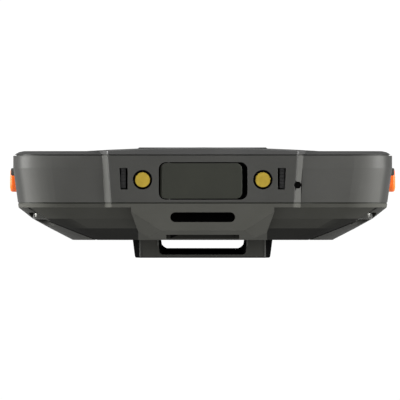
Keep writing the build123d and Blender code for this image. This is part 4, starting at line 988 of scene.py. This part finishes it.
def lens_set(name, x, y, face_z, outward, radius):
    """A ring that stands a little out of a face, and the glass in it."""
    middle = Vector((x, y, face_z + lens_offset * outward))
    disc(f"{name}_ring", middle, radius, ring_depth, outward, ring_rim * radius, ring_sink, chassis_metal)
    disc(f"{name}_glass", middle, glass_share * radius, glass_depth, outward, glass_rim * radius, glass_dome,
         display_black)


def middle_of(name):
    low, high = box_mm(name)
    return (low + high) / 2


rear_middle = middle_of("rear_camera")
front_middle = middle_of("front_camera")
back_face = box_mm("camera_window")[0].z
front_face = box_mm("touch_glass")[1].z
lens_set("rear_lens", rear_middle.x, rear_middle.y, back_face, outward=-1, radius=3.0)
lens_set("front_lens", front_middle.x, front_middle.y, front_face, outward=1, radius=1.5)
ridge_size = Vector((3.0, 0.4, 0.2))
ridge_step = Vector((0, 0.8, 0))
ridge_count = 3
for side in ("left", "right"):
    latch = f"door_latch_{side}"
    thumb_face = middle_of(latch)
    thumb_face.z = box_mm(latch)[0].z
    bar_row(f"latch_ridges_{side}", thumb_face - ridge_step, ridge_step, ridge_count, ridge_size, 0.08,
            key_black, latch)
print("two lenses, and", ridge_count, "ridges on each latch")

# %% [markdown]
# Catalogue pictures are taken on a light table: a sheet of pale milky acrylic, lit from below, that curves
# up at its edges, so that no line shows where it ends. A plane is added, its edges are extruded up, and
# the fold is bevelled round. Its own glow keeps it an even white. The glow goes up only, and from
# below the sheet is clear, so that the object's back can be looked at too.

# %% Table and backdrop
table_width = 16.0
table_rise = 1.0
fold_radius = 0.6
bpy.ops.object.select_all(action="DESELECT")
bpy.ops.mesh.primitive_plane_add(size=table_width)
floor = bpy.context.object
floor.name = "pale_table"
open_mesh(floor, "EDGE")
bpy.ops.mesh.select_all(action="SELECT")
bpy.ops.mesh.extrude_edges_move(TRANSFORM_OT_translate={"value": (0, 0, table_rise)})
fold_count = pick_edges(floor, lambda a, b: max(abs(a.z), abs(b.z)) < 1)
bpy.ops.mesh.bevel(offset=fold_radius, segments=12, affect="EDGES")
bpy.ops.mesh.select_all(action="SELECT")
bpy.ops.mesh.normals_make_consistent(inside=True)
close_mesh()
bpy.ops.object.shade_smooth()
print("table:", fold_count, "folds")


def glowing_sheet():
    """White from above, clear from below."""
    material = bpy.data.materials.new("table_acrylic")
    material.use_nodes = True
    shader = shader_of(material)
    shader.inputs["Base Color"].default_value = (0.12, 0.12, 0.12, 1)
    shader.inputs["Roughness"].default_value = 0.9
    shader.inputs["Specular IOR Level"].default_value = 0.0
    shader.inputs["Emission Color"].default_value = (1, 1, 1, 1)
    shader.inputs["Emission Strength"].default_value = 1.0
    tree = material.node_tree
    clear = tree.nodes.new("ShaderNodeBsdfTransparent")
    facing = tree.nodes.new("ShaderNodeNewGeometry")
    choice = tree.nodes.new("ShaderNodeMixShader")
    tree.links.new(facing.outputs["Backfacing"], choice.inputs["Fac"])
    tree.links.new(shader.outputs["BSDF"], choice.inputs[1])
    tree.links.new(clear.outputs["BSDF"], choice.inputs[2])
    tree.links.new(choice.outputs["Shader"], tree.nodes["Material Output"].inputs["Surface"])
    return material


floor.data.materials.append(glowing_sheet())

# %% [markdown]
# Dark plastic shows its shape through broad soft reflections. One large soft light hangs above, a strip
# stands at each side to draw the bright lines down the rounded corners, and a weak one in front opens
# the face. The surroundings are a weak, even white, as in a light tent.

# %% Lights


def softbox(name, place_mm, aim_mm, width, height, power):
    light = bpy.data.lights.new(name, "AREA")
    light.shape = "RECTANGLE"
    light.size = width * MM
    light.size_y = height * MM
    light.energy = power
    lamp = bpy.data.objects.new(name, light)
    bpy.context.scene.collection.objects.link(lamp)
    lamp.location = Vector(place_mm) * MM
    direction = (Vector(aim_mm) - Vector(place_mm)).normalized()
    lamp.rotation_euler = direction.to_track_quat("-Z", "Y").to_euler()


softbox("top_light", (0, -250, 650), (0, -60, 10), width=700, height=500, power=5.0)
softbox("left_strip", (-560, -90, 60), (0, -60, 12), width=200, height=360, power=12.5)
softbox("right_strip", (540, -170, 60), (0, -60, 12), width=200, height=360, power=10.5)
softbox("front_fill", (0, -1200, 500), (0, -60, 12), width=400, height=400, power=2.0)
world = bpy.data.worlds.new("light_tent")
world.use_nodes = True
world.node_tree.nodes["Background"].inputs["Color"].default_value = (1, 1, 1, 1)
world.node_tree.nodes["Background"].inputs["Strength"].default_value = 0.10
bpy.context.scene.world = world
bpy.context.scene.view_settings.view_transform = "Standard"
print("four soft lights")

# %% [markdown]
# From straight in front and far away, all parallel lines stay parallel, and sizes can be compared across
# the whole object. A very long lens at several metres does that. The lens follows from the distance and
# from the width that the frame has to hold.

# %% Camera
view_distance = 3.7
view_width = 82.1 * MM
view_middle = -0.55 * MM
eye_height = 12.24 * MM
sensor_width = 36
camera_data = bpy.data.cameras.new("long_lens")
camera_data.sensor_width = sensor_width
camera_data.lens = sensor_width * view_distance / view_width
camera_data.clip_end = 20
camera = bpy.data.objects.new("long_lens", camera_data)
bpy.context.scene.collection.objects.link(camera)
camera.location = (view_middle, cad_low[1] - view_distance, eye_height)
camera.rotation_euler = (math.radians(90), 0, 0)
bpy.context.scene.camera = camera
print("lens", round(camera_data.lens), "mm")
